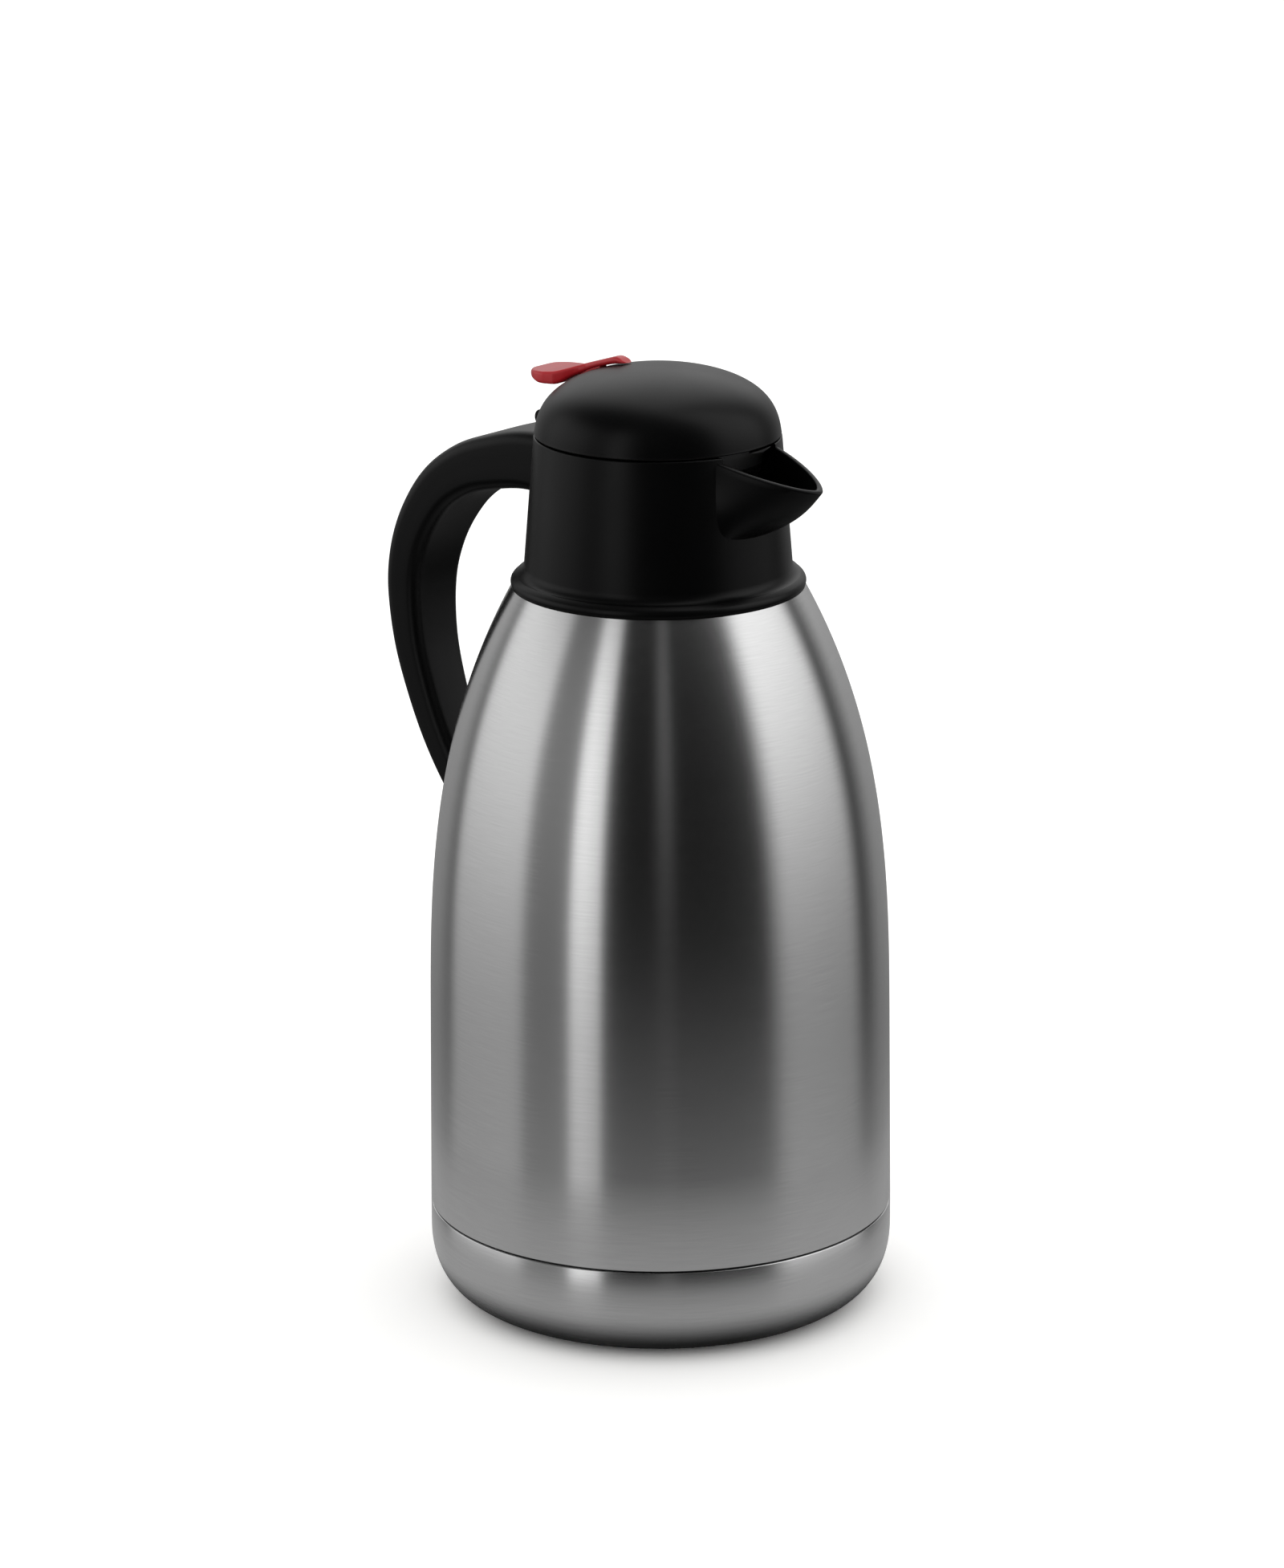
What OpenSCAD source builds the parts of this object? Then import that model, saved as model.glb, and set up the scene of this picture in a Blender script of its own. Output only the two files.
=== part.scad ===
// Two-litre vacuum carafe: double-walled steel body, moulded collar with a
// pouring spout, side handle, and a domed flip lid with a thumb lever that
// lifts a spring-loaded pouring valve.
// Origin: centre of the base on the table. +Z up, +X towards the spout,
// -X towards the handle. Millimetres.

/* [Body] */
// Largest diameter of the steel body
body_d = 145; // [135:1:155]
// Loss of radius over each 100 mm of height
body_taper = 1.02; // [0:0.1:2]
// Height at which the shoulder starts to curve in
shoulder_z = 90; // [70:1:110]
// How late and how fast the shoulder curves
shoulder_power = 2.9; // [2.5:0.1:3.2]
// Height of the flask's rim above the table
neck_top_z = 244; // [236:1:256]
// Inner radius of the flask's neck
neck_bore_r = 28; // [26:0.1:28.2]
// Sheet thickness of the outer shell
shell_wall = 0.8; // [0.6:0.05:1]
// Sheet thickness of the inner flask
flask_wall = 0.6; // [0.4:0.05:0.8]
// Width of the vacuum gap between shell and flask
vacuum_gap = 5.6; // [4:0.1:7]

/* [Base] */
// Height of the seam above the base cap
seam_z = 30.7; // [28:0.1:34]
// Width of the rounded edge under the base
base_round_w = 18.6; // [14:0.1:22]
// Height of the rounded edge under the base
base_round_h = 22.1; // [18:0.1:25]
// Fullness of that rounded edge, 2 for a plain ellipse
base_round_power = 2.25; // [2:0.05:2.5]
// Depth of the dish pressed into the underside
base_dish = 2.6; // [1.5:0.1:4]

/* [Collar] */
// Outer radius of the collar at its rim
collar_rim_r = 38; // [37:0.1:39]
// How much wider the collar is just above its bead
collar_flare = 3.2; // [2.8:0.1:3.4]
// Height of the collar's rim above the flask's rim
collar_rise = 31.4; // [30.5:0.1:32]
// Wall thickness of the collar
collar_wall = 2.4; // [2:0.1:2.6]
// Radius of the bead round the foot of the collar
bead_r = 1.85; // [1.7:0.05:2]
// Radius of the hollow between bead and collar wall
bead_fillet_r = 3.4; // [3:0.1:3.6]

/* [Spout] */
// Distance of the spout's tip from the axis
spout_reach = 63.9; // [58:0.1:68]
// Drop of the spout's rim from collar to tip
spout_drop = 8.7; // [7:0.1:10]
// Half angle that the spout takes up on the collar
spout_half_angle = 27; // [24:0.5:29]
// Height of the spout from its root to the collar's rim
spout_depth = 26.1; // [25:0.1:27]
// Wall thickness of the spout
spout_wall = 2.2; // [1.8:0.1:2.6]

/* [Funnel and plug] */
// Radius of the plug's lower end
plug_low_r = 22.6; // [21:0.1:23]
// Wall thickness of the plug
plug_wall = 2.2; // [1.8:0.1:2.4]
// Radial clearance between plug and funnel
plug_gap = 0.9; // [0.8:0.1:1]
// Thickness of the plug's floor
plug_floor = 5.4; // [5:0.1:6]
// Radius of the valve's port
valve_port_r = 8; // [6.5:0.1:9]

/* [Lid] */
// Height of the dome's top above the collar's rim
dome_rise = 21.2; // [20.6:0.1:22]
// Wall thickness of the dome
dome_wall = 2.4; // [2:0.1:2.6]
// Gap of the seam between collar and lid
seam_gap = 0.45; // [0.35:0.05:0.6]
// Distance of the hinge's pin behind the collar's rim
hinge_out = 3.4; // [3.2:0.1:3.8]
// Height of the hinge's pin above the collar's rim
hinge_rise = 0.6; // [0.5:0.1:0.8]
// Outer radius of the hinge's knuckles
knuckle_r = 2.6; // [2.4:0.1:2.7]
// Radius of the hinge's pin
hinge_pin_r = 1.2; // [1:0.05:1.3]
// Length of the lid's knuckle
knuckle_w = 6.4; // [5.4:0.1:7]
// Thickness of each ear of the collar's hinge
ear_w = 3; // [2.4:0.1:3.2]

/* [Lever] */
// Radius of the thumb pad
pad_r = 9; // [8:0.1:10]
// Distance of the thumb pad's centre behind the collar's rim
pad_out = 1.1; // [0.8:0.1:1.6]
// Height of the thumb pad's face above the collar's rim
pad_rise = 15.8; // [15.5:0.1:16.5]
// Width of the lever's arm
lever_arm_w = 4.2; // [3.6:0.1:4.6]
// Distance of the lever's pivot inside the collar's rim
pivot_in = 12; // [11.6:0.1:12.4]
// Height of the lever's pivot above the collar's rim
pivot_rise = 9.1; // [8.8:0.1:9.4]
// Radius of the lever's pin
lever_pin_r = 1.25; // [1:0.05:1.5]
// Thickness of the web that runs through the dome
web_w = 3.2; // [2.6:0.1:3.4]

/* [Valve] */
// Radius of the valve's stem
stem_r = 2; // [1.8:0.1:2.2]
// Radius of the sealing disc
disc_r = 10.2; // [9.8:0.1:10.6]
// Diameter of the spring's wire
spring_wire = 0.9; // [0.7:0.05:1]
// Middle radius of the spring's coils
spring_r = 3.7; // [3.5:0.1:3.9]
// Number of the spring's curls
spring_curls = 5; // [4:1:6]

/* [Handle] */
// Width of the handle where it meets the collar
handle_root_w = 27.6; // [25:0.1:29]
// Width of the handle along the grip
handle_grip_w = 22.3; // [19:0.1:24]
// Width of the handle at its foot
handle_foot_w = 17.8; // [15:0.1:19]
// Depth of the handle where it meets the collar
handle_root_t = 20; // [18:0.1:20.4]
// Depth of the handle along the grip
handle_grip_t = 13.7; // [11.5:0.1:15]
// Depth of the handle at its foot
handle_foot_t = 10.5; // [9:0.1:12]
// Radius of the handle's long edges
handle_edge_r = 4; // [3:0.1:4.4]
// Reach of the grip's middle from the axis
handle_reach = 97.7; // [92:0.1:104]

/* [Fits] */
// Radial clearance of a pin that turns in its bore
running_gap = 0.05; // [0.02:0.01:0.08]
// Clearance between faces that move past each other
part_gap = 0.3; // [0.25:0.05:0.4]
// Clearance between pieces fixed to each other
seat_gap = 0.1; // [0.05:0.05:0.15]

/* [Hidden] */
$fn = 96;
eps = 0.01;

body_r = body_d / 2;
rim_z = neck_top_z + collar_rise;
collar_low_r = collar_rim_r + collar_flare;
collar_foot_z = neck_top_z - 15.4;
shoulder_top_z = neck_top_z - 13.4;
shoulder_top_r = collar_low_r + 2.7;
shoulder_steps = 26;
neck_wall_r = neck_bore_r + flask_wall + 0.8;
neck_outer_r = neck_wall_r + shell_wall;

gasket_t = 1.2;
gasket_z = neck_top_z + seat_gap / 2;
funnel_foot_z = gasket_z + gasket_t + seat_gap / 2;
plug_top_r = collar_rim_r - 4.2;
plug_foot_z = neck_top_z + 3;
plug_shoulder_z = rim_z - 6;
plug_slope = (plug_top_r - plug_low_r) / (plug_shoulder_z - plug_foot_z);
plug_top_z = rim_z - 2;
seat_z = plug_foot_z + plug_floor;
seat_lip = 0.8;
window_angle = 24;

spout_root_z = rim_z - spout_depth;
spout_root_x = collar_rim_r - 3.6;
spout_half_w = collar_rim_r * 0.392;
spout_step = 1;
spout_curve = 1.54;
spout_belly = 4;
spout_points = 18;
spout_rows = 8;

dome_base_z = rim_z + seam_gap;
dome_sink = 11.1;
dome_mid_z = rim_z - dome_sink;
dome_r = collar_rim_r + 0.07;
dome_h = dome_rise + dome_sink;
dome_p = 1.94;
dome_q = 4.12;
dome_steps = 28;

hinge_x = collar_rim_r + hinge_out;
hinge_z = rim_z + hinge_rise;
pad_x = collar_rim_r + pad_out;
pivot_x = collar_rim_r - pivot_in;
pivot_z = rim_z + pivot_rise;
pad_z = rim_z + pad_rise;

lug_w = 2.4;
lug_y = web_w / 2 + 1.6 + lug_w / 2;
lever_boss_w = 2 * (lug_y - lug_w / 2 - part_gap);

deck_top_z = rim_z + 0.8;
deck_z = plug_top_z + seat_gap;
deck_r = collar_rim_r - 3.4;
boss_ring_r = plug_top_r - 7.8;
boss_r = 3.2;
screw_r = 1.4;
screw_angles = [0, 120, 240];

disc_z = seat_z + seat_lip + 0.05;
disc_t = 1.95;
flange_z = disc_z + disc_t + 0.05;
flange_t = 1.1;
guide_foot_z = deck_z - 6.6;
fork_z = deck_top_z + 0.7;
fork_t = 2;
lobe_r = 1.2;
clip_z = fork_z + fork_t + lobe_r + part_gap;
clip_t = 1.2;

handle_foot_z = neck_top_z - 99.5;
bracket_t = 2.6;
bracket_h = 6.4;
bracket_w = 9;
foot_head_x = 5.6;
foot_screw_r = 2;
root_screw_z = rim_z - 17.2;
root_screw_y = 8;

// ---------- outlines that several pieces share ----------

// Outer radius of the steel body at height z
function body_at(z) = body_r - body_taper * (z - seam_z) / 100
    - shoulder_fall * pow(max(0, z - shoulder_z) / (shoulder_top_z - shoulder_z), shoulder_power);
shoulder_fall = body_r - body_taper * (shoulder_top_z - seam_z) / 100 - shoulder_top_r;

// Heights of the shoulder's rings, from one height to another
function heights(low, high, steps) = [for (i = [0 : steps]) low + (high - low) * i / steps];

// Outer radius of the collar at height z above its fillet
function collar_at(z) = collar_low_r
    - (collar_low_r - collar_rim_r) * (z - bead_fillet_z) / (rim_z - bead_fillet_z);
bead_fillet_z = neck_top_z - 8.4;
bead_mid_z = collar_foot_z + 1.4;

// Height of the steel shell at radius r, between its shoulder and its neck
crown_z = neck_top_z - 5;
function crown_at(r) = shoulder_top_z
    + (crown_z - shoulder_top_z) * (shoulder_top_r - r) / (shoulder_top_r - neck_outer_r - 1.4);

// Radius of the funnel's inner face at height z
function funnel_at(z) = plug_low_r + plug_gap + plug_slope * (z - plug_foot_z);

// Radius of the plug's outer face at height z
function plug_at(z) = plug_low_r + plug_slope * (z - plug_foot_z);

// Points on an arc in the plane of a profile
function arc(cx, cz, r, from, to, steps) =
    [for (i = [0 : steps]) let (a = from + (to - from) * i / steps)
        [cx + r * cos(a), cz + r * sin(a)]];

// Profile of the dome, set in by a wall thickness
function dome_curve(inset, low_z) =
    let (r = dome_r - inset, h = dome_h - inset,
        start = asin(pow(max(0, low_z - dome_mid_z) / h, dome_q / 2)))
    [for (i = [0 : dome_steps]) let (a = start + (90 - start) * i / dome_steps)
        [max(0, r * pow(cos(a), 2 / dome_p)), dome_mid_z + h * pow(sin(a), 2 / dome_q)]];

// Height of the dome's outer face at distance x from the axis
function dome_top_at(x) = dome_mid_z
    + dome_h * pow(1 - pow(min(1, abs(x) / dome_r), dome_p), 1 / dome_q);

// A prism across the carafe, from an outline in X and Z
module across(width) {
    rotate([90, 0, 0])
        translate([0, 0, -width / 2])
            linear_extrude(height = width)
                children();
}

// A round bar across the carafe at x, z
module cross_bar(x, z, r, width) {
    translate([x, width / 2, z])
        rotate([90, 0, 0])
            cylinder(r = r, h = width);
}

// A ring with a rectangular section
module ring(inner, outer, low, high) {
    rotate_extrude()
        translate([inner, low])
            square([outer - inner, high - low]);
}

// Everything inside the steel body's outer face
module body_core(extra) {
    rings = heights(shoulder_z, shoulder_top_z, shoulder_steps);
    rotate_extrude()
        polygon(concat([[0, seam_z], [body_at(seam_z) + extra, seam_z]],
            [for (z = rings) [body_at(z) + extra, z]],
            [[0, shoulder_top_z]]));
}

// ---------- steel vessel ----------

// The shell steps in at the seam, so that the base cap slips over it
cap_wall = 0.8;
tuck_r = body_at(seam_z) - cap_wall - seat_gap;
tuck_h = 7.6;

module outer_shell() {
    rings = heights(shoulder_z, shoulder_top_z, shoulder_steps);
    color("silver")
        rotate_extrude()
            polygon(concat([[body_at(seam_z), seam_z + 0.4]],
                [for (z = rings) [body_at(z), z]],
                [[neck_outer_r + 1.4, crown_z], [neck_outer_r, crown_z + 1.4],
                    [neck_outer_r, neck_top_z - flask_wall - seat_gap],
                    [neck_wall_r, neck_top_z - flask_wall - seat_gap],
                    [neck_wall_r, crown_z + 0.9], [neck_wall_r + 1.2, crown_z - 0.6]],
                [for (i = [shoulder_steps : -1 : 0])
                    [body_at(rings[i]) - shell_wall, rings[i] - shell_wall * i / shoulder_steps]],
                [[body_at(seam_z) - shell_wall, seam_z + 2.6], [tuck_r - shell_wall, seam_z + 1.2],
                    [tuck_r - shell_wall, seam_z - tuck_h], [tuck_r, seam_z - tuck_h],
                    [tuck_r, seam_z], [body_at(seam_z) - 0.4, seam_z]]));
}

module shell_bottom() {
    edge_r = tuck_r - shell_wall - seat_gap;
    foot_z = seam_z - 13.4;
    color("lightgray")
        difference() {
            rotate_extrude()
                polygon([[0, foot_z + 3], [18, foot_z + 3], [24, foot_z], [edge_r - 8, foot_z],
                    [edge_r - 2, foot_z + 2], [edge_r, foot_z + 6], [edge_r, foot_z + 9],
                    [edge_r - shell_wall, foot_z + 9], [edge_r - shell_wall, foot_z + 6.4],
                    [edge_r - 2.7, foot_z + 2.8], [edge_r - 8.2, foot_z + shell_wall],
                    [24.2, foot_z + shell_wall], [18.2, foot_z + 3 + shell_wall],
                    [0, foot_z + 3 + shell_wall]]);
            translate([0, 0, foot_z])
                cylinder(r = 1.6, h = 6);
        }
}

module vacuum_seal() {
    seal_z = seam_z - 10.4;
    color("dimgray")
        translate([0, 0, seal_z - 1.5]) {
            cylinder(r = 4.6, h = 1.45);
            cylinder(r = 1.5, h = 3);
        }
}

flask_foot_z = seam_z + 2;

module inner_flask() {
    inset = shell_wall + vacuum_gap;
    top_z = neck_top_z - 18;
    rings = heights(shoulder_z, top_z, shoulder_steps);
    neck_low_z = neck_top_z - 9;
    color("silver")
        rotate_extrude()
            polygon(concat([[body_at(flask_foot_z) - inset, flask_foot_z]],
                [for (z = rings) [body_at(z) - inset, z - 2]],
                [[neck_bore_r + flask_wall, neck_low_z], [neck_bore_r + flask_wall, neck_top_z - flask_wall],
                    [neck_outer_r, neck_top_z - flask_wall], [neck_outer_r, neck_top_z],
                    [neck_bore_r + 0.4, neck_top_z], [neck_bore_r, neck_top_z - 0.4],
                    [neck_bore_r, neck_low_z - 0.4]],
                [for (i = [shoulder_steps : -1 : 0])
                    [body_at(rings[i]) - inset - flask_wall, rings[i] - 2.4]],
                [[body_at(flask_foot_z) - inset - flask_wall, flask_foot_z]]));
}

module flask_bottom() {
    edge_r = body_at(flask_foot_z) - shell_wall - vacuum_gap;
    low_z = seam_z - 7;
    color("silver")
        rotate_extrude()
            polygon(concat([[0, low_z + 2.4], [16, low_z + 2.4], [22, low_z]],
                arc(edge_r - 7, low_z + 7, 7, -90, 0, 6),
                [[edge_r, flask_foot_z - seat_gap], [edge_r - flask_wall, flask_foot_z - seat_gap]],
                arc(edge_r - 7, low_z + 7, 7 - flask_wall, 0, -90, 6),
                [[22.2, low_z + flask_wall], [16.2, low_z + 2.4 + flask_wall],
                    [0, low_z + 2.4 + flask_wall]]));
}

module getter() {
    color("gray")
        translate([34, 0, seam_z - 9.5])
            cylinder(r = 5, h = 9.5 - 7 - 0.05, $fn = 48);
}

// The rounded edge of the base, from the table up
base_steps = 16;
function base_edge(foot_r, w, h) = [for (i = [0 : base_steps]) let (a = 90 * i / base_steps)
    [foot_r + w * pow(sin(a), 2 / base_round_power),
        base_round_h - h * pow(cos(a), 2 / base_round_power)]];

module base_cap() {
    cap_r = body_at(seam_z);
    top_z = seam_z - 0.55;
    fit_r = cap_r - cap_wall;
    color("silver")
        rotate_extrude()
            polygon(concat([[0, base_dish], [cap_r - base_round_w - 9, base_dish],
                    [cap_r - base_round_w - 5, 0]],
                base_edge(cap_r - base_round_w, base_round_w, base_round_h),
                [[cap_r, top_z - 0.3], [cap_r - 0.3, top_z], [fit_r, top_z]],
                [for (i = [base_steps : -1 : 0])
                    base_edge(cap_r - base_round_w, base_round_w - cap_wall, base_round_h - cap_wall)[i]],
                [[cap_r - base_round_w - 4.6, cap_wall],
                    [cap_r - base_round_w - 8.6, base_dish + cap_wall], [0, base_dish + cap_wall]]));
}

// ---------- collar, spout and handle ----------

module neck_gasket() {
    color("white")
        ring(neck_bore_r + 0.6, neck_outer_r - 0.2, gasket_z, gasket_z + gasket_t);
}

// Plan outline of the spout's rim: -1 and 1 at the collar, 0 at the tip
function spout_rim(t, inset) =
    let (a = 90 * (1 - abs(t)), side = t < 0 ? -1 : 1,
        x = spout_root_x + (spout_reach - inset - spout_root_x) * pow(sin(a), 2 / spout_curve),
        y = (spout_half_w - inset) * pow(cos(a), 2 / spout_curve) * side)
    [x, y, rim_z - spout_step
        - (spout_drop - spout_step) * (x - spout_root_x) / (spout_reach - spout_root_x)];

// Arc on the collar from which the spout's underside starts
function spout_root(t, inset) =
    let (r = collar_at(spout_root_z) - 1.1 - inset,
        a = (spout_half_angle - inset * 180 / PI / r) * t)
    [r * cos(a), r * sin(a), spout_root_z + inset * 1.6];

// Point on the spout's face: s runs from the root to the rim
function spout_point(s, t, inset) =
    spout_root(t, inset) * (1 - s) + spout_rim(t, inset) * s
        + [spout_belly * sin(180 * pow(min(1, s), 0.83)) * (1 - abs(t)), 0, 0];

// The spout as a stack of loops, closed by a flat back at back_x
module spout_body(inset, back_x, back_w, over) {
    n = 2 * spout_points + 1;
    loops = [for (i = [0 : spout_rows]) let (s = over * i / spout_rows)
        concat([for (j = [-spout_points : spout_points]) spout_point(s, j / spout_points, inset)],
            [let (p = spout_point(s, 1, inset)) [back_x, back_w, p[2]],
                let (p = spout_point(s, -1, inset)) [back_x, -back_w, p[2]]])];
    m = n + 2;
    points = [for (loop = loops) for (p = loop) p];
    sides = [for (i = [0 : spout_rows - 1]) for (j = [0 : m - 1])
        let (a = i * m + j, b = i * m + (j + 1) % m)
        for (face = [[a, b + m, b], [a, a + m, b + m]]) face];
    low = [for (j = [1 : m - 2]) [0, j, j + 1]];
    top = [for (j = [1 : m - 2]) [spout_rows * m, spout_rows * m + j + 1, spout_rows * m + j]];
    polyhedron(points = points, faces = concat(sides, low, top));
}

module collar_revolve() {
    top_wall_r = collar_rim_r - collar_wall + 0.4;
    cone_r = plug_low_r + plug_gap + collar_wall;
    neck_r = neck_outer_r + seat_gap * 3;
    join_z = plug_foot_z + (collar_rim_r - collar_wall + 0.6 - cone_r) / plug_slope;
    rotate_extrude()
        polygon(concat(
            [[body_at(collar_foot_z) + seat_gap, collar_foot_z]],
            arc(body_at(collar_foot_z) - 1.45, bead_mid_z, bead_r, -33, 55, 8),
            arc(collar_low_r + bead_fillet_r, bead_fillet_z, bead_fillet_r, 256, 180, 8),
            [[collar_rim_r, rim_z - 0.4], [collar_rim_r - 0.4, rim_z],
                [collar_rim_r - 2, rim_z], [collar_rim_r - 2, plug_shoulder_z + 2.4],
                [funnel_at(plug_shoulder_z), plug_shoulder_z],
                [funnel_at(plug_foot_z), plug_foot_z],
                [funnel_at(plug_foot_z), funnel_foot_z], [neck_r, funnel_foot_z],
                [neck_r, neck_top_z - 3.2], [neck_r + 2, neck_top_z - 3.2],
                [neck_r + 2, plug_foot_z + 0.5], [cone_r + 0.25, plug_foot_z + 0.5],
                [top_wall_r + 0.2, join_z],
                [collar_low_r - collar_wall, crown_at(collar_low_r - collar_wall) + 0.6],
                [collar_low_r - 0.6, crown_at(collar_low_r - 0.6) + 0.5],
                [shoulder_top_r + 0.35, shoulder_top_z + 0.2],
                [body_at(shoulder_top_z - 0.6) + 0.25, shoulder_top_z - 0.6]]));
}

// Stiffening ribs between the collar's wall and its funnel
module collar_ribs() {
    for (a = [60, 105, 150, 210, 255, 300])
        intersection() {
            rotate([0, 0, a])
                translate([neck_outer_r + 1.5, -0.8, neck_top_z - 2.6])
                    cube([8, 1.6, 19]);
            rotate_extrude()
                polygon([[neck_outer_r + 1.5, neck_top_z - 2.6], [collar_low_r - 1.2, neck_top_z - 2.6],
                    [collar_low_r - 2.2, rim_z - 12], [funnel_at(rim_z - 12) + 1, rim_z - 12],
                    [funnel_at(plug_foot_z + 2) + 1, plug_foot_z + 2],
                    [neck_outer_r + 1.5, plug_foot_z]]);
        }
}

// One ear of the hinge, standing out behind the collar's wall
module hinge_ear() {
    across(ear_w)
        polygon([[-collar_rim_r + 0.8, rim_z - 2.6], [-collar_rim_r + 0.8, rim_z - 0.7],
            [-collar_rim_r - 0.05, rim_z - 0.65],
            [-hinge_x + knuckle_r * 0.73, hinge_z + knuckle_r * 0.67], [-hinge_x, hinge_z],
            [-hinge_x - 0.4, hinge_z - knuckle_r + 0.1]]);
    cross_bar(-hinge_x, hinge_z, knuckle_r, ear_w);
}

module pour_collar() {
    ear_y = knuckle_w / 2 + part_gap + ear_w / 2;
    color([0.09, 0.09, 0.09])
        difference() {
            union() {
                collar_revolve();
                collar_ribs();
                spout_body(0, spout_root_x - 0.5, spout_half_w, 1);
                for (side = [-1, 1])
                    translate([0, side * ear_y, 0])
                        hinge_ear();
            }
            spout_body(spout_wall, 20, 10, 1.15);
            cross_bar(-hinge_x, hinge_z, hinge_pin_r + running_gap, 40);
            for (side = [-1, 1])
                translate([-collar_rim_r + 8, side * root_screw_y, root_screw_z])
                    rotate([0, -90, 0])
                        cylinder(r = screw_r + seat_gap, h = 14);
        }
}

module collar_screws() {
    head_x = sqrt(pow(collar_at(root_screw_z) - collar_wall, 2) - pow(root_screw_y + 2.6, 2)) - 0.15;
    color("gainsboro")
        for (side = [-1, 1])
            translate([-head_x, side * root_screw_y, root_screw_z])
                rotate([0, -90, 0]) {
                    translate([0, 0, -1.6])
                        cylinder(r = 2.6, h = 1.6, $fn = 48);
                    translate([0, 0, -eps])
                        cylinder(r = screw_r, h = 16, $fn = 48);
                }
}

// Middle line of the handle, from the collar to the foot: how far out it is, as a
// share of the way from the collar's rim to the grip, and how far below the rim
handle_line = [[-0.13, 12.6], [0.12, 12.6], [0.33, 15], [0.53, 18.9], [0.72, 26.3],
    [0.865, 36.9], [0.96, 48.9], [1, 62], [0.98, 78.9], [0.908, 94.8], [0.806, 109.7],
    [0.673, 123], [0.513, 134.4], [0.362, 141.2]];
handle_path = [for (p = handle_line)
    [-collar_rim_r - p[0] * (handle_reach - collar_rim_r), rim_z - p[1]]];

// Point, and its slope, on a smooth curve through the handle's points
function between(p, q, r, s, t) = 0.5 * (2 * q + (r - p) * t
    + (2 * p - 5 * q + 4 * r - s) * t * t + (3 * q - p - 3 * r + s) * t * t * t);
function handle_mid(u) =
    let (n = len(handle_path) - 1, k = min(n - 1, floor(u * n)), t = u * n - k,
        q = handle_path[k], r = handle_path[k + 1],
        p = k > 0 ? handle_path[k - 1] : 2 * q - r,
        s = k < n - 1 ? handle_path[k + 2] : 2 * r - q)
    between(p, q, r, s, t);

// Width and depth of the handle at u, which runs from 0 at the root to 1 at the foot
handle_mid_u = 0.54;
function lower_share(u) = 1 - pow(1 - max(0, u - handle_mid_u) / (1 - handle_mid_u), 2);
function handle_w(u) = u < handle_mid_u
    ? handle_root_w - (handle_root_w - handle_grip_w) * pow(u / handle_mid_u, 2.4)
    : handle_grip_w - (handle_grip_w - handle_foot_w) * lower_share(u);
function handle_t(u) = u < handle_mid_u
    ? handle_grip_t + (handle_root_t - handle_grip_t) * pow(1 - u / handle_mid_u, 1.6)
    : handle_grip_t - (handle_grip_t - handle_foot_t) * lower_share(u);

handle_stations = 40;
corner_points = 6;
handle_sides = 4 * corner_points;

// Outline of the handle's section: a rectangle with round corners
function section(w, t) = [for (c = [0 : 3]) for (k = [0 : corner_points - 1])
    let (a = 90 * c + 90 * k / (corner_points - 1), r = handle_edge_r,
        x = c == 0 || c == 3 ? 1 : -1, y = c < 2 ? 1 : -1)
    [x * (w / 2 - r) + r * cos(a), y * (t / 2 - r) + r * sin(a)]];

module handle_loft() {
    rings = [for (i = [0 : handle_stations])
        let (u = i / handle_stations, p = handle_mid(u),
            d = handle_mid(min(1, u + 0.01)) - handle_mid(max(0, u - 0.01)),
            n = [-d[1], d[0]] / norm(d),
            outline = section(handle_w(u), handle_t(u)))
        [for (q = outline) [p[0] + n[0] * q[1], q[0], p[1] + n[1] * q[1]]]];
    points = [for (loop = rings) for (p = loop) p];
    m = handle_sides;
    sides = [for (i = [0 : handle_stations - 1]) for (j = [0 : m - 1])
        let (a = i * m + j, b = i * m + (j + 1) % m)
        for (face = [[a, b + m, b], [a, a + m, b + m]]) face];
    first = [for (j = [1 : m - 2]) [0, j, j + 1]];
    last = [for (j = [1 : m - 2]) [handle_stations * m, handle_stations * m + j + 1,
        handle_stations * m + j]];
    polyhedron(points = points, faces = concat(sides, first, last));
}

module handle() {
    bracket_x = body_at(handle_foot_z);
    color([0.09, 0.09, 0.09])
        difference() {
            handle_loft();
            body_core(seat_gap, $fn = 360);
            rotate_extrude()
                polygon([[0, collar_foot_z], [collar_low_r + seat_gap, bead_fillet_z],
                    [collar_rim_r + seat_gap, rim_z], [0, rim_z]]);
            for (side = [-1, 1])
                translate([-collar_rim_r + 1, side * root_screw_y, root_screw_z])
                    rotate([0, -90, 0])
                        cylinder(r = screw_r + seat_gap / 2, h = 15);
            translate([-bracket_x + 3, 0, handle_foot_z])
                rotate([0, -90, 0])
                    cylinder(r = foot_screw_r + seat_gap, h = 40);
            translate([-bracket_x - foot_head_x + seat_gap / 2, 0, handle_foot_z])
                rotate([0, -90, 0])
                    cylinder(r = 3.6, h = 40);
            translate([-bracket_x - bracket_t - seat_gap, -bracket_w / 2 - seat_gap,
                    handle_foot_z - bracket_h / 2 - seat_gap])
                cube([8, bracket_w + 2 * seat_gap, bracket_h + 2 * seat_gap]);
        }
}

module handle_bracket() {
    bracket_x = body_at(handle_foot_z);
    color("silver")
        difference() {
            translate([-bracket_x - bracket_t, -bracket_w / 2, handle_foot_z - bracket_h / 2])
                cube([8, bracket_w, bracket_h]);
            body_core(0.05, $fn = 360);
            translate([-bracket_x + 2, 0, handle_foot_z])
                rotate([0, -90, 0])
                    cylinder(r = foot_screw_r + 0.03, h = 20);
        }
}

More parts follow.
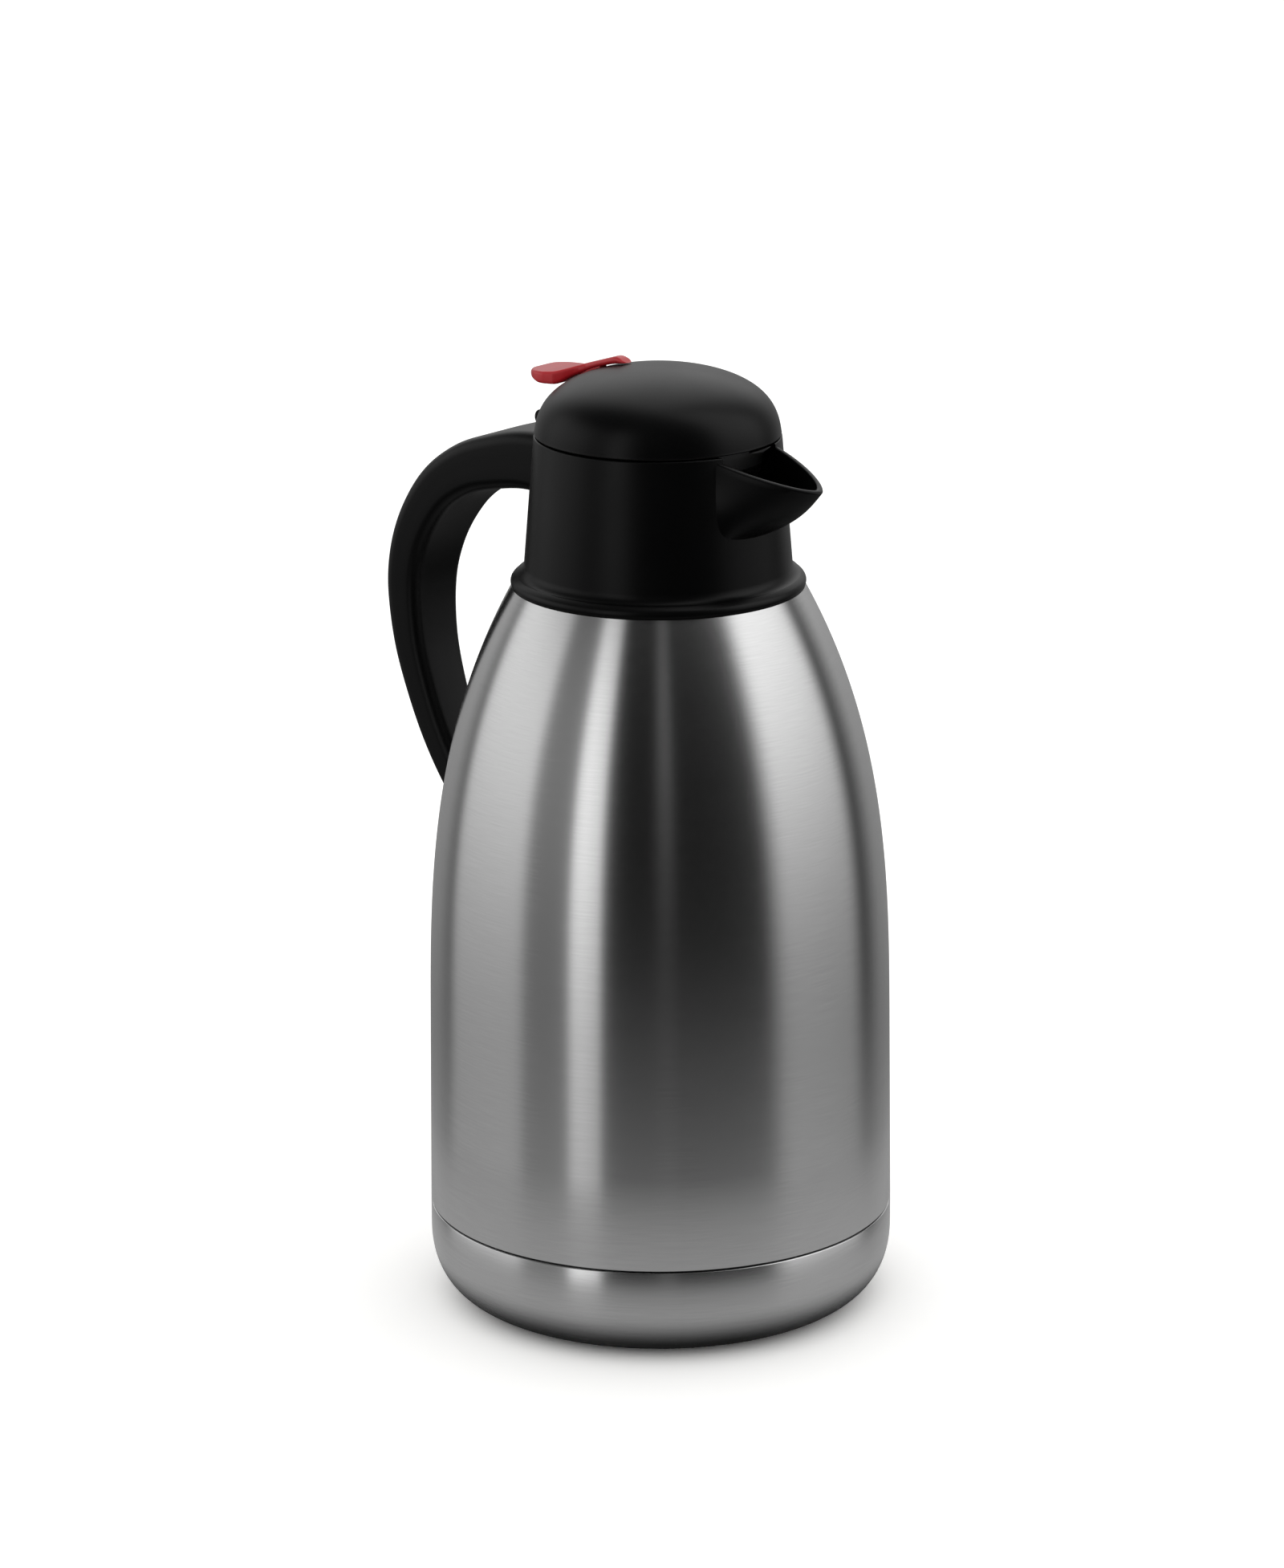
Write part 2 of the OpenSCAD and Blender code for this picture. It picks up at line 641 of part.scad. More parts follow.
module handle_screw() {
    head_x = body_at(handle_foot_z) + foot_head_x;
    color("gainsboro")
        translate([-head_x, 0, handle_foot_z])
            rotate([0, -90, 0])
                difference() {
                    union() {
                        cylinder(r = 3.2, h = 1.6, $fn = 48);
                        translate([0, 0, 0.2 - foot_head_x])
                            cylinder(r = foot_screw_r, h = foot_head_x, $fn = 48);
                    }
                    for (a = [0, 90])
                        rotate([0, 0, a])
                            translate([-1.9, -0.4, 0.8])
                                cube([3.8, 0.8, 2]);
                }
}

module hinge_pin() {
    pin_w = knuckle_w + 2 * part_gap + 2 * ear_w;
    color("silver")
        cross_bar(-hinge_x, hinge_z, hinge_pin_r, pin_w);
}

// ---------- flip lid ----------

module dome_solid(inset, low_z) {
    rotate_extrude()
        polygon(concat([[0, low_z]], dome_curve(inset, low_z)));
}

module lid_dome() {
    slot_low_x = pivot_x - 5.4;
    slot_high_x = pivot_x + 6.4;
    slot_w = web_w + 1;
    pilot_r = screw_r - 0.1;
    color([0.08, 0.08, 0.08])
        difference() {
            union() {
                rotate_extrude()
                    polygon(concat(dome_curve(0, dome_base_z),
                        [for (i = [dome_steps : -1 : 0]) dome_curve(dome_wall, dome_base_z)[i]]));
                intersection() {
                    dome_solid(1, dome_base_z);
                    union() {
                        for (a = screw_angles)
                            rotate([0, 0, a])
                                translate([boss_ring_r, 0, deck_top_z + 0.05])
                                    cylinder(r = boss_r, h = 30, $fn = 48);
                        for (side = [-1, 1])
                            translate([-pivot_x - 3.5, side * lug_y - lug_w / 2, pivot_z - 3.2])
                                cube([7, lug_w, 20]);
                    }
                }
                cross_bar(-hinge_x, hinge_z, knuckle_r, knuckle_w);
                translate([-hinge_x, -knuckle_w / 2, dome_base_z])
                    cube([hinge_x - dome_r + 1.6, knuckle_w, 3]);
            }
            translate([-slot_high_x, -slot_w / 2, pivot_z])
                cube([slot_high_x - slot_low_x, slot_w, 30]);
            cross_bar(-pivot_x, pivot_z, lever_pin_r + 0.02, 2 * lug_y + lug_w + eps);
            cross_bar(-hinge_x, hinge_z, hinge_pin_r + running_gap, knuckle_w + 1);
            for (a = screw_angles)
                rotate([0, 0, a])
                    translate([boss_ring_r, 0, deck_top_z])
                        cylinder(r = pilot_r, h = 8, $fn = 48);
        }
}

module lid_deck() {
    color([0.12, 0.12, 0.12])
        difference() {
            union() {
                translate([0, 0, deck_z])
                    cylinder(r = deck_r, h = deck_top_z - deck_z);
                translate([0, 0, guide_foot_z])
                    cylinder(r = stem_r + 2.5, h = deck_z - guide_foot_z + eps);
                ring(plug_top_r - plug_wall - 1.6, plug_top_r - plug_wall - part_gap,
                    plug_top_z - 2.6, deck_z + eps);
            }
            translate([0, 0, guide_foot_z - 1])
                cylinder(r = stem_r + running_gap, h = 20);
            for (a = screw_angles)
                rotate([0, 0, a])
                    translate([boss_ring_r, 0, deck_z - 1])
                        cylinder(r = screw_r + 0.2, h = 10, $fn = 48);
        }
}

module lid_screws() {
    color("gainsboro")
        for (a = screw_angles)
            rotate([0, 0, a])
                translate([boss_ring_r, 0, deck_z - 0.05]) {
                    translate([0, 0, -1.4])
                        cylinder(r = 2.6, h = 1.4, $fn = 48);
                    translate([0, 0, -eps])
                        cylinder(r = screw_r - 0.15, h = 8, $fn = 48);
                }
}

module plug_cup() {
    shoulder_r = plug_top_r - plug_wall;
    floor_r = plug_at(seat_z) - plug_wall * 1.12;
    groove_z = plug_foot_z + 2.5;
    color([0.12, 0.12, 0.12])
        difference() {
            rotate_extrude()
                polygon([[valve_port_r, plug_foot_z + 0.6], [valve_port_r + 0.6, plug_foot_z],
                    [plug_low_r - 0.6, plug_foot_z], [plug_at(plug_foot_z + 0.6), plug_foot_z + 0.6],
                    [plug_at(groove_z), groove_z], [plug_low_r - 0.4, groove_z],
                    [plug_low_r - 0.4, groove_z + 2.3], [plug_at(groove_z + 2.3), groove_z + 2.3],
                    [plug_top_r, plug_shoulder_z], [plug_top_r, plug_top_z],
                    [shoulder_r, plug_top_z], [shoulder_r, plug_shoulder_z + 0.4],
                    [floor_r, seat_z], [valve_port_r + 1.4, seat_z],
                    [valve_port_r + 1, seat_z + seat_lip], [valve_port_r, seat_z + seat_lip]]);
            translate([0, 0, seat_z + 4])
                rotate([0, 0, -window_angle])
                    rotate_extrude(angle = 2 * window_angle)
                        translate([plug_low_r - 4, 0])
                            square([20, plug_shoulder_z - seat_z - 6]);
        }
}

module plug_seal() {
    groove_z = plug_foot_z + 2.5;
    low_z = groove_z + seat_gap;
    high_z = groove_z + 2.3 - seat_gap;
    mid_z = (low_z + high_z) / 2;
    color("whitesmoke")
        rotate_extrude()
            polygon([[plug_low_r - 0.3, low_z], [plug_at(low_z), low_z],
                [funnel_at(mid_z - 0.5) - part_gap, mid_z - 0.5],
                [funnel_at(mid_z) - part_gap, mid_z + 0.3],
                [plug_at(high_z), high_z], [plug_low_r - 0.3, high_z]]);
}

module lever_pin() {
    color("silver")
        cross_bar(-pivot_x, pivot_z, lever_pin_r, 2 * lug_y + lug_w);
}

// ---------- thumb lever ----------

// Plan of the lever: a round thumb pad that narrows to the arm
module lever_plan(tip_x) {
    half_w = lever_arm_w / 2;
    translate([-pad_x, 0])
        circle(r = pad_r, $fn = 160);
    polygon([[-pad_x + 0.6, -pad_r + 0.02], [-pad_x + 3.6, -pad_r + 0.8],
        [-pivot_x - 3.4, -half_w - 0.9], [-pivot_x - 1, -half_w],
        [-tip_x - half_w, -half_w], [-tip_x - half_w, half_w],
        [-pivot_x - 1, half_w], [-pivot_x - 3.4, half_w + 0.9],
        [-pad_x + 3.6, pad_r - 0.8], [-pad_x + 0.6, pad_r - 0.02]]);
    translate([-tip_x - half_w, 0])
        circle(r = half_w);
}

// Height of the lever's underside at x: close over the dome in front of the
// pivot, and with room for its travel behind it
lever_gap = 0.35;
function lever_low_at(x) = dome_top_at(x) + lever_gap + 0.16 * max(0, abs(x) - pivot_x - 1.5);

module thumb_lever() {
    tip_x = 13.2;
    tip_z = rim_z + 22.6;
    under_steps = 10;
    fork_end_x = 3.4;
    stem_slot = 2 * (stem_r + 0.5);
    fork_w = stem_slot + 3.8;
    color([0.62, 0.06, 0.08])
        difference() {
            union() {
                intersection() {
                    translate([0, 0, rim_z])
                        linear_extrude(height = 40)
                            lever_plan(tip_x);
                    across(4 * pad_r)
                        polygon(concat([[-pad_x - pad_r - 1, pad_z - 1.6],
                            [-pad_x - pad_r + 0.6, pad_z - 0.8], [-pad_x - pad_r + 2, pad_z - 0.2],
                            [-pad_x, pad_z], [-pad_x + 4, pad_z + 0.4],
                            [-pivot_x - 4.6, pad_z + 1.9], [-pivot_x - 1, pad_z + 3.1],
                            [-tip_x - 2, tip_z], [-tip_x - 0.6, tip_z - 0.4], [-tip_x + 1, tip_z - 1.6]],
                            [for (i = [0 : under_steps])
                                let (x = tip_x - 1 + (pivot_x + 7 - tip_x + 1) * i / under_steps)
                                [-x, lever_low_at(x)]],
                            [[-pivot_x - 8.6, pad_z - 3.8], [-pad_x - 2, pad_z - 3.9],
                            [-pad_x - pad_r + 2, pad_z - 3], [-pad_x - pad_r + 0.6, pad_z - 2.2],
                            [-pad_x - pad_r - 1, pad_z - 1.8]]));
                }
                across(web_w)
                    polygon([[-pivot_x - 4.4, rim_z + 16], [-pivot_x - 4, rim_z + 14.4],
                        [-pivot_x - 3.1, pivot_z], [-pivot_x + 3.1, pivot_z],
                        [-pivot_x + 4, rim_z + 15.4], [-pivot_x + 4.4, rim_z + 19.6]]);
                cross_bar(-pivot_x, pivot_z, 3.1, lever_boss_w);
                across(fork_w)
                    polygon([[-pivot_x - 1.6, pivot_z - 2.6], [-pivot_x + 2.4, pivot_z - 1.9],
                        [-9, fork_z + fork_t + 1], [-3, fork_z + fork_t], [fork_end_x, fork_z + fork_t],
                        [fork_end_x, fork_z], [-9, fork_z], [-pivot_x + 1.4, pivot_z - 4.6]]);
                cross_bar(0, fork_z + fork_t, lobe_r, fork_w);
            }
            translate([-5.6, -stem_slot / 2, fork_z - 1])
                cube([20, stem_slot, 8]);
            cross_bar(-pivot_x, pivot_z, lever_pin_r + running_gap, 20);
            for (side = [-1, 1])
                translate([-pivot_x - 5, side * (lever_boss_w / 2 + 4) - 4, pivot_z - 5.2])
                    cube([9.4, 8, 7]);
        }
}

// ---------- pouring valve ----------

module valve_stem() {
    color("silver")
        union() {
            translate([0, 0, disc_z - 3])
                cylinder(r = stem_r, h = clip_z + clip_t + 1 - disc_z + 3);
            translate([0, 0, flange_z])
                cylinder(r = 6.4, h = flange_t);
        }
}

module valve_disc() {
    color("whitesmoke")
        ring(stem_r + 0.03, disc_r, disc_z, disc_z + disc_t);
}

module valve_nut() {
    color("silver")
        ring(stem_r + 0.03, 4.6, disc_z - 2, disc_z - 0.05);
}

module stem_clip() {
    color("gray")
        ring(stem_r + 0.03, stem_r + 2.8, clip_z, clip_z + clip_t);
}

// One unbroken wire, wound round the stem
module valve_spring() {
    rings_per_curl = 8;
    sides = 6;
    low = flange_z + flange_t + spring_wire / 2 + 0.03;
    high = guide_foot_z - spring_wire / 2 - 0.03;
    n = spring_curls * rings_per_curl;
    pitch = (high - low) / spring_curls;
    echo(spring_gap_to_itself = pitch - spring_wire);
    points = [for (i = [0 : n]) let (a = 360 * i / rings_per_curl, z = low + pitch * i / rings_per_curl)
        for (j = [0 : sides - 1]) let (b = 360 * j / sides, r = spring_r + spring_wire / 2 * cos(b))
            [r * cos(a), r * sin(a), z + spring_wire / 2 * sin(b)]];
    walls = [for (i = [0 : n - 1]) for (j = [0 : sides - 1])
        let (a = i * sides + j, b = i * sides + (j + 1) % sides)
        for (face = [[a, b, b + sides], [a, b + sides, a + sides]]) face];
    first = [for (j = [1 : sides - 2]) [0, j + 1, j]];
    last = [for (j = [1 : sides - 2]) [n * sides, n * sides + j, n * sides + j + 1]];
    color("lightsteelblue")
        polyhedron(points = points, faces = concat(walls, first, last));
}

outer_shell();
shell_bottom();
vacuum_seal();
inner_flask();
flask_bottom();
getter();
base_cap();
neck_gasket();
pour_collar();
collar_screws();
handle();
handle_bracket();
handle_screw();
hinge_pin();
lid_dome();
lid_deck();
lid_screws();
plug_cup();
plug_seal();
lever_pin();
thumb_lever();
valve_stem();
valve_disc();
valve_nut();
stem_clip();
valve_spring();
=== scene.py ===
# %% [markdown]
# # A thermal carafe with a flip lid
# A two-litre vacuum jug: a brushed steel body and base cap, a black moulded
# collar with a pouring spout, a black side handle, a black domed lid and a red
# thumb lever that opens the pouring valve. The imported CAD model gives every
# piece and every joint. This script turns the pieces that show into smooth,
# finely rounded meshes, gives each piece its finish, and sets camera and light.

import math

import bmesh
import bpy
from mathutils import Matrix, Vector


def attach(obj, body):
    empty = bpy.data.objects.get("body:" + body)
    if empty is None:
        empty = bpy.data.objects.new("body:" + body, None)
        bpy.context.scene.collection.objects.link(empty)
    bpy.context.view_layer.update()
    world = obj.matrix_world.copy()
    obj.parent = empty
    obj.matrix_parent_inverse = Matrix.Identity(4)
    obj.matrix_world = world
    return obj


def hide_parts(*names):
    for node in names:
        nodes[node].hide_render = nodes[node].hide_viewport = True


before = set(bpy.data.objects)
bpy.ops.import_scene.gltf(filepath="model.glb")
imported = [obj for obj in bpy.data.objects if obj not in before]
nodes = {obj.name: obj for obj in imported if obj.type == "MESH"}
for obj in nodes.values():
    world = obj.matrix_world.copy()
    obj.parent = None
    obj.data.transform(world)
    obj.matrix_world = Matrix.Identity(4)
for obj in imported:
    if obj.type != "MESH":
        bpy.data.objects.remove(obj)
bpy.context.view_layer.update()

# %% [markdown]
# ## Camera
# The jug was seen from the front left of its spout, from a little above, with a
# long lens, which keeps the body's sides nearly parallel. The view could be set
# by eye, but the ellipses of base, seam and collar give its height and distance
# to about a pixel, so the values below come from those ellipses.

# %% Camera
CAMERA_AT = Vector((1.1244, -1.3483, 0.6740))   # metres, in the jug's own frame
CAMERA_PITCH = math.radians(16.183)             # below the horizon
CAMERA_ROLL = math.radians(-0.271)
CAMERA_AZIMUTH = math.radians(40)
LENS_MM = 135.4

level_right = Vector((math.cos(CAMERA_AZIMUTH), math.sin(CAMERA_AZIMUTH), 0))
level_ahead = Vector((-math.sin(CAMERA_AZIMUTH), math.cos(CAMERA_AZIMUTH), 0))
ahead = level_ahead * math.cos(CAMERA_PITCH) - Vector((0, 0, math.sin(CAMERA_PITCH)))
upright = level_right.cross(ahead)
right = level_right * math.cos(CAMERA_ROLL) + upright * math.sin(CAMERA_ROLL)
up = upright * math.cos(CAMERA_ROLL) - level_right * math.sin(CAMERA_ROLL)

camera = bpy.data.objects.new("camera", bpy.data.cameras.new("camera"))
bpy.context.scene.collection.objects.link(camera)
camera.data.lens = LENS_MM
camera.data.clip_start, camera.data.clip_end = 0.05, 50
camera.matrix_world = Matrix((
    (right.x, up.x, -ahead.x, CAMERA_AT.x),
    (right.y, up.y, -ahead.y, CAMERA_AT.y),
    (right.z, up.z, -ahead.z, CAMERA_AT.z),
    (0, 0, 0, 1)))
bpy.context.scene.camera = camera
bpy.context.scene.view_settings.view_transform = "Standard"
print("camera looks along", tuple(round(v, 3) for v in ahead))

# %% [markdown]
# ## Helpers for node trees
# Every finish below is a small tree of shader nodes. A few short helpers keep
# the trees readable: they add a node with its settings, join two sockets, do
# one sum, and start a node group with named inputs and outputs.

# %% Node helpers
def add(tree, kind, label=None, **settings):
    """A node of this kind, with its label and settings."""
    node = tree.nodes.new(kind)
    if label:
        node.label = label
    for name, value in settings.items():
        setattr(node, name, value)
    return node


def join(tree, start, end):
    tree.links.new(start, end)


def put(tree, target, value):
    """Join a socket to target, or set target to a plain value."""
    if hasattr(value, "is_output"):
        tree.links.new(value, target)
    else:
        target.default_value = value


def maths(tree, operation, a, b=None, c=None):
    """One sum; each term is a socket or a plain number."""
    node = add(tree, "ShaderNodeMath", operation=operation)
    for socket, value in zip(node.inputs, (a, b, c)):
        if value is not None:
            put(tree, socket, value)
    return node.outputs[0]


def ramp_between(tree, value, low, high, to_low=0.0, to_high=1.0):
    """Value remapped from low..high to to_low..to_high, with a soft start and end."""
    node = add(tree, "ShaderNodeMapRange", interpolation_type="SMOOTHSTEP")
    for name, number in zip(("Value", "From Min", "From Max", "To Min", "To Max"),
                            (value, low, high, to_low, to_high)):
        put(tree, node.inputs[name], number)
    return node.outputs["Result"]


def new_group(name, inputs, outputs):
    """A shader node group of plain numbers: inputs are (name, default), outputs are names."""
    tree = bpy.data.node_groups.new(name, "ShaderNodeTree")
    for label, default in inputs:
        socket = tree.interface.new_socket(label, in_out="INPUT", socket_type="NodeSocketFloat")
        socket.default_value = default
    for label in outputs:
        tree.interface.new_socket(label, in_out="OUTPUT", socket_type="NodeSocketFloat")
    return tree, add(tree, "NodeGroupInput").outputs, add(tree, "NodeGroupOutput").inputs


def use(tree, group, **values):
    """A node of the group with some inputs set; an underscore stands for a space."""
    node = add(tree, "ShaderNodeGroup", node_tree=group)
    for name, value in values.items():
        put(tree, node.inputs[name.replace("_", " ")], value)
    return node.outputs


print("helpers ready")

# %% [markdown]
# ## Effect: brushed lines
# The body's sheet was turned against an abrasive belt, which leaves fine lines
# that run round the jug. The lines could be an image, but noise that is
# stretched along the turn gives lines at any scale and needs no unwrapping. The
# jug is round about Z, so its angle and its height serve as coordinates.

# %% Brushed lines
def turned_coordinates(tree, along, across):
    """Angle and height about Z as a vector, for noise that runs round the jug."""
    place = add(tree, "ShaderNodeTexCoord").outputs["Object"]
    parts = add(tree, "ShaderNodeSeparateXYZ")
    join(tree, place, parts.inputs[0])
    angle = maths(tree, "ARCTAN2", parts.outputs["Y"], parts.outputs["X"])
    # a circle of angles, so the noise has no seam where the angle wraps round
    vector = add(tree, "ShaderNodeCombineXYZ")
    for turned, axis in (("COSINE", "X"), ("SINE", "Y")):
        join(tree, maths(tree, "MULTIPLY", maths(tree, turned, angle), along),
             vector.inputs[axis])
    radius = maths(tree, "SQRT", maths(tree, "ADD",
                   maths(tree, "MULTIPLY", parts.outputs["X"], parts.outputs["X"]),
                   maths(tree, "MULTIPLY", parts.outputs["Y"], parts.outputs["Y"])))
    # height less radius changes all along the profile, on flat and on upright parts
    height = maths(tree, "SUBTRACT", parts.outputs["Z"], radius)
    join(tree, maths(tree, "MULTIPLY", height, across), vector.inputs["Z"])
    return vector.outputs[0]


CLOUD_ALONG, CLOUD_ACROSS = 2.2, 60.0   # how often the slow tone changes round and up the jug
brushed_lines, given, made = new_group(
    "brushed_lines", [("Fineness", 2600.0), ("Length", 5.0)],
    ["Lines", "Cloud"])
fine = add(brushed_lines, "ShaderNodeTexNoise", "fine lines")
put(brushed_lines, fine.inputs["Scale"], 1.0)
put(brushed_lines, fine.inputs["Detail"], 3.0)
put(brushed_lines, fine.inputs["Roughness"], 0.65)
join(brushed_lines, turned_coordinates(brushed_lines, given["Length"], given["Fineness"]),
     fine.inputs["Vector"])
cloud = add(brushed_lines, "ShaderNodeTexNoise", "slow change of tone")
put(brushed_lines, cloud.inputs["Detail"], 4.0)
put(brushed_lines, cloud.inputs["Scale"], 1.0)
join(brushed_lines, turned_coordinates(brushed_lines, CLOUD_ALONG, CLOUD_ACROSS),
     cloud.inputs["Vector"])
join(brushed_lines, fine.outputs["Fac"], made["Lines"])
join(brushed_lines, cloud.outputs["Fac"], made["Cloud"])
print("group:", brushed_lines.name)

# %% [markdown]
# ## Effect: moulded grain
# The black mouldings have a fine spark-eroded texture, a little under half a
# millimetre across, which breaks the gloss up. Two layers of noise make it: the
# grain itself and a slower change in how worn the grain is.

# %% Moulded grain
MM_PER_M = 1000.0
moulded_grain, given, made = new_group(
    "moulded_grain", [("Grain mm", 0.4), ("Patch mm", 18.0)],
    ["Grain", "Patches"])
place = add(moulded_grain, "ShaderNodeTexCoord").outputs["Object"]
grain = add(moulded_grain, "ShaderNodeTexNoise", "grain")
put(moulded_grain, grain.inputs["Detail"], 2.0)
put(moulded_grain, grain.inputs["Roughness"], 0.6)
join(moulded_grain, place, grain.inputs["Vector"])
join(moulded_grain, maths(moulded_grain, "DIVIDE", MM_PER_M, given["Grain mm"]),
     grain.inputs["Scale"])
patch = add(moulded_grain, "ShaderNodeTexNoise", "patches")
put(moulded_grain, patch.inputs["Detail"], 3.0)
join(moulded_grain, place, patch.inputs["Vector"])
join(moulded_grain, maths(moulded_grain, "DIVIDE", MM_PER_M, given["Patch mm"]),
     patch.inputs["Scale"])
join(moulded_grain, grain.outputs["Fac"], made["Grain"])
join(moulded_grain, patch.outputs["Fac"], made["Patches"])
print("group:", moulded_grain.name)

# %% [markdown]
# ## Finishes
# One function makes each kind of finish, so that steels differ from each other
# only in their values, and plastics too. Numbers that are the same all over a
# surface are set on the shader itself.

# %% What all finishes share
def new_finish(name):
    """A material with nodes: the material, its tree and its shader."""
    material = bpy.data.materials.new(name)
    material.use_nodes = True
    tree = material.node_tree
    return material, tree, tree.nodes["Principled BSDF"]


def two_tones(tree, shader, label, mask, colour, darker, lighter):
    """Base colour between a darker and a lighter tone of the colour."""
    mix = add(tree, "ShaderNodeMix", label, data_type="RGBA")
    join(tree, mask, mix.inputs["Factor"])
    colour_a, colour_b, mixed = mix.inputs[6], mix.inputs[7], mix.outputs[2]
    colour_a.default_value = (*(c * darker for c in colour), 1)
    colour_b.default_value = (*(min(1, c * lighter) for c in colour), 1)
    join(tree, mixed, shader.inputs["Base Color"])


def raised(tree, shader, height, strength, distance):
    """A fine relief; the distance from its lowest to its highest point is in metres."""
    bump = add(tree, "ShaderNodeBump")
    bump.inputs["Strength"].default_value = strength
    bump.inputs["Distance"].default_value = distance
    join(tree, height, bump.inputs["Height"])
    join(tree, bump.outputs[0], shader.inputs["Normal"])


print("shared parts of finishes ready")

# %% [markdown]
# ### Steel
# The body's brushed sheet blurs a reflection far more up and down, across its
# lines, than round the jug. That is what draws the studio out into long upright
# bands. A rough steel without direction would show soft blots in their place,
# so the shader gets a direction that runs round Z. Inner steel and fasteners
# are left without it. The lines hardly show as relief, only as tone.

# %% Steel
QUARTER_TURN = 0.25           # turns the stretched highlight across the lines
LINE_RELIEF = 0.00002


def steel_finish(name, colour, roughness, anisotropic, fineness, line_depth, spread=0.06):
    material, tree, shader = new_finish(name)
    shader.inputs["Metallic"].default_value = 1.0
    shader.inputs["Anisotropic"].default_value = anisotropic
    shader.inputs["Anisotropic Rotation"].default_value = QUARTER_TURN
    lines = use(tree, brushed_lines, Fineness=fineness)
    two_tones(tree, shader, "line tone", lines["Lines"], colour, 0.90, 1.08)
    tone = maths(tree, "MULTIPLY_ADD", lines["Cloud"], spread, roughness - spread / 2)
    join(tree, maths(tree, "MULTIPLY_ADD", lines["Lines"], spread, tone),
         shader.inputs["Roughness"])
    if anisotropic > 0:
        tangent = add(tree, "ShaderNodeTangent", direction_type="RADIAL", axis="Z")
        join(tree, tangent.outputs[0], shader.inputs["Tangent"])
    raised(tree, shader, lines["Lines"], line_depth, LINE_RELIEF)
    return material


body_steel = steel_finish("body_steel", (0.62, 0.62, 0.62), 0.25, 0.88, 2600.0, 0.02,
                          spread=0.015)
plain_steel = steel_finish("plain_steel", (0.58, 0.58, 0.58), 0.27, 0.0, 900.0, 0.15)
fastener_steel = steel_finish("fastener_steel", (0.62, 0.62, 0.61), 0.22, 0.0, 3000.0, 0.2)
seal_metal = steel_finish("seal_metal", (0.35, 0.35, 0.36), 0.5, 0.0, 500.0, 0.2)
print("steels:", [m.name for m in (body_steel, plain_steel, fastener_steel, seal_metal)])

# %% [markdown]
# ### Plastics and silicone
# The black mouldings are probably polypropylene. In the photo they reflect less
# than a smooth plastic would, as a surface with a fine grain does, so their index
# of refraction is set lower than the plastic's own. The red lever is smoother,
# and silicone is nearly white and dull.

# %% Plastics and silicone
GRAIN_RELIEF = 0.00004


def plastic_finish(name, colour, roughness, grain_mm, depth, spread=0.10, index=1.5):
    material, tree, shader = new_finish(name)
    shader.inputs["IOR"].default_value = index
    texture = use(tree, moulded_grain, Grain_mm=grain_mm)
    two_tones(tree, shader, "worn tone", texture["Patches"], colour, 0.85, 1.15)
    join(tree, maths(tree, "MULTIPLY_ADD", texture["Patches"], spread, roughness - spread / 2),
         shader.inputs["Roughness"])
    raised(tree, shader, texture["Grain"], depth, GRAIN_RELIEF)
    return material


black_plastic = plastic_finish("black_plastic", (0.0012, 0.0012, 0.0013), 0.36, 0.45, 0.4,
                               index=1.27)
inner_plastic = plastic_finish("inner_plastic", (0.006, 0.006, 0.0063), 0.36, 0.8, 0.2)
red_plastic = plastic_finish("red_plastic", (0.44, 0.012, 0.018), 0.34, 0.6, 0.15)
silicone = plastic_finish("silicone", (0.78, 0.78, 0.75), 0.55, 1.2, 0.1)
print("plastics:", [m.name for m in (black_plastic, inner_plastic, red_plastic, silicone)])

# %% [markdown]
# ## Helpers for shapes
# The CAD solids are exact, but their curves were cut into a few flat bands, and
# polished metal shows every band in its reflections. So the pieces that show
# are made again here, from the same measurements, with many more steps and with
# the small radii that a mould or a press leaves on an edge. Three helpers do
# most of that: one turns a profile about the axis, one joins a row of loops into
# a skin, and one cuts a closed shape with others.

# %% Shape helpers
MM = 0.001


def turn(profile, segments=288):
    """A closed profile, as (radius, height) in mm, turned about Z."""
    shape = bmesh.new()
    columns = []
    for radius, height in profile:
        if radius < 1e-6:
            columns.append([shape.verts.new((0, 0, height * MM))] * segments)
            continue
        columns.append([shape.verts.new((radius * math.cos(2 * math.pi * k / segments) * MM,
                                         radius * math.sin(2 * math.pi * k / segments) * MM,
                                         height * MM)) for k in range(segments)])
    for j, column in enumerate(columns):
        beside = columns[(j + 1) % len(columns)]
        for k in range(segments):
            n = (k + 1) % segments
            corners = [column[k], column[n], beside[n], beside[k]]
            # on the axis two corners are one point
            corners = [c for i, c in enumerate(corners) if c not in corners[:i]]
            if len(corners) > 2:
                shape.faces.new(corners)
    return shape


def skin(loops):
    """Closed loops of points, in mm, joined into one skin, with its ends closed."""
    shape = bmesh.new()
    rows = [[shape.verts.new(Vector(p) * MM) for p in loop] for loop in loops]
    count = len(rows[0])
    for low, high in zip(rows, rows[1:]):
        for k in range(count):
            n = (k + 1) % count
            shape.faces.new((low[k], low[n], high[n], high[k]))
    shape.faces.new(rows[0])
    shape.faces.new(rows[-1])
    return shape


def prism(outline, low_y, high_y):
    """An outline in X and Z, in mm, stretched from low_y to high_y."""
    return skin([[(x, y, z) for x, z in outline] for y in (low_y, high_y)])


def bar(start, end, radius, sides=64):
    """A round bar between two points, in mm."""
    start, end = Vector(start), Vector(end)
    side = (end - start).orthogonal().normalized() * radius
    other = (end - start).normalized().cross(side)
    angles = [2 * math.pi * k / sides for k in range(sides)]
    return skin([[p + side * math.cos(a) + other * math.sin(a) for a in angles]
                 for p in (start, end)])


def as_object(shape):
    """The shape as a plain object, for a cut."""
    bmesh.ops.recalc_face_normals(shape, faces=shape.faces[:])
    mesh = bpy.data.meshes.new("shape")
    shape.to_mesh(mesh)
    shape.free()
    made = bpy.data.objects.new("shape", mesh)
    bpy.context.scene.collection.objects.link(made)
    return made


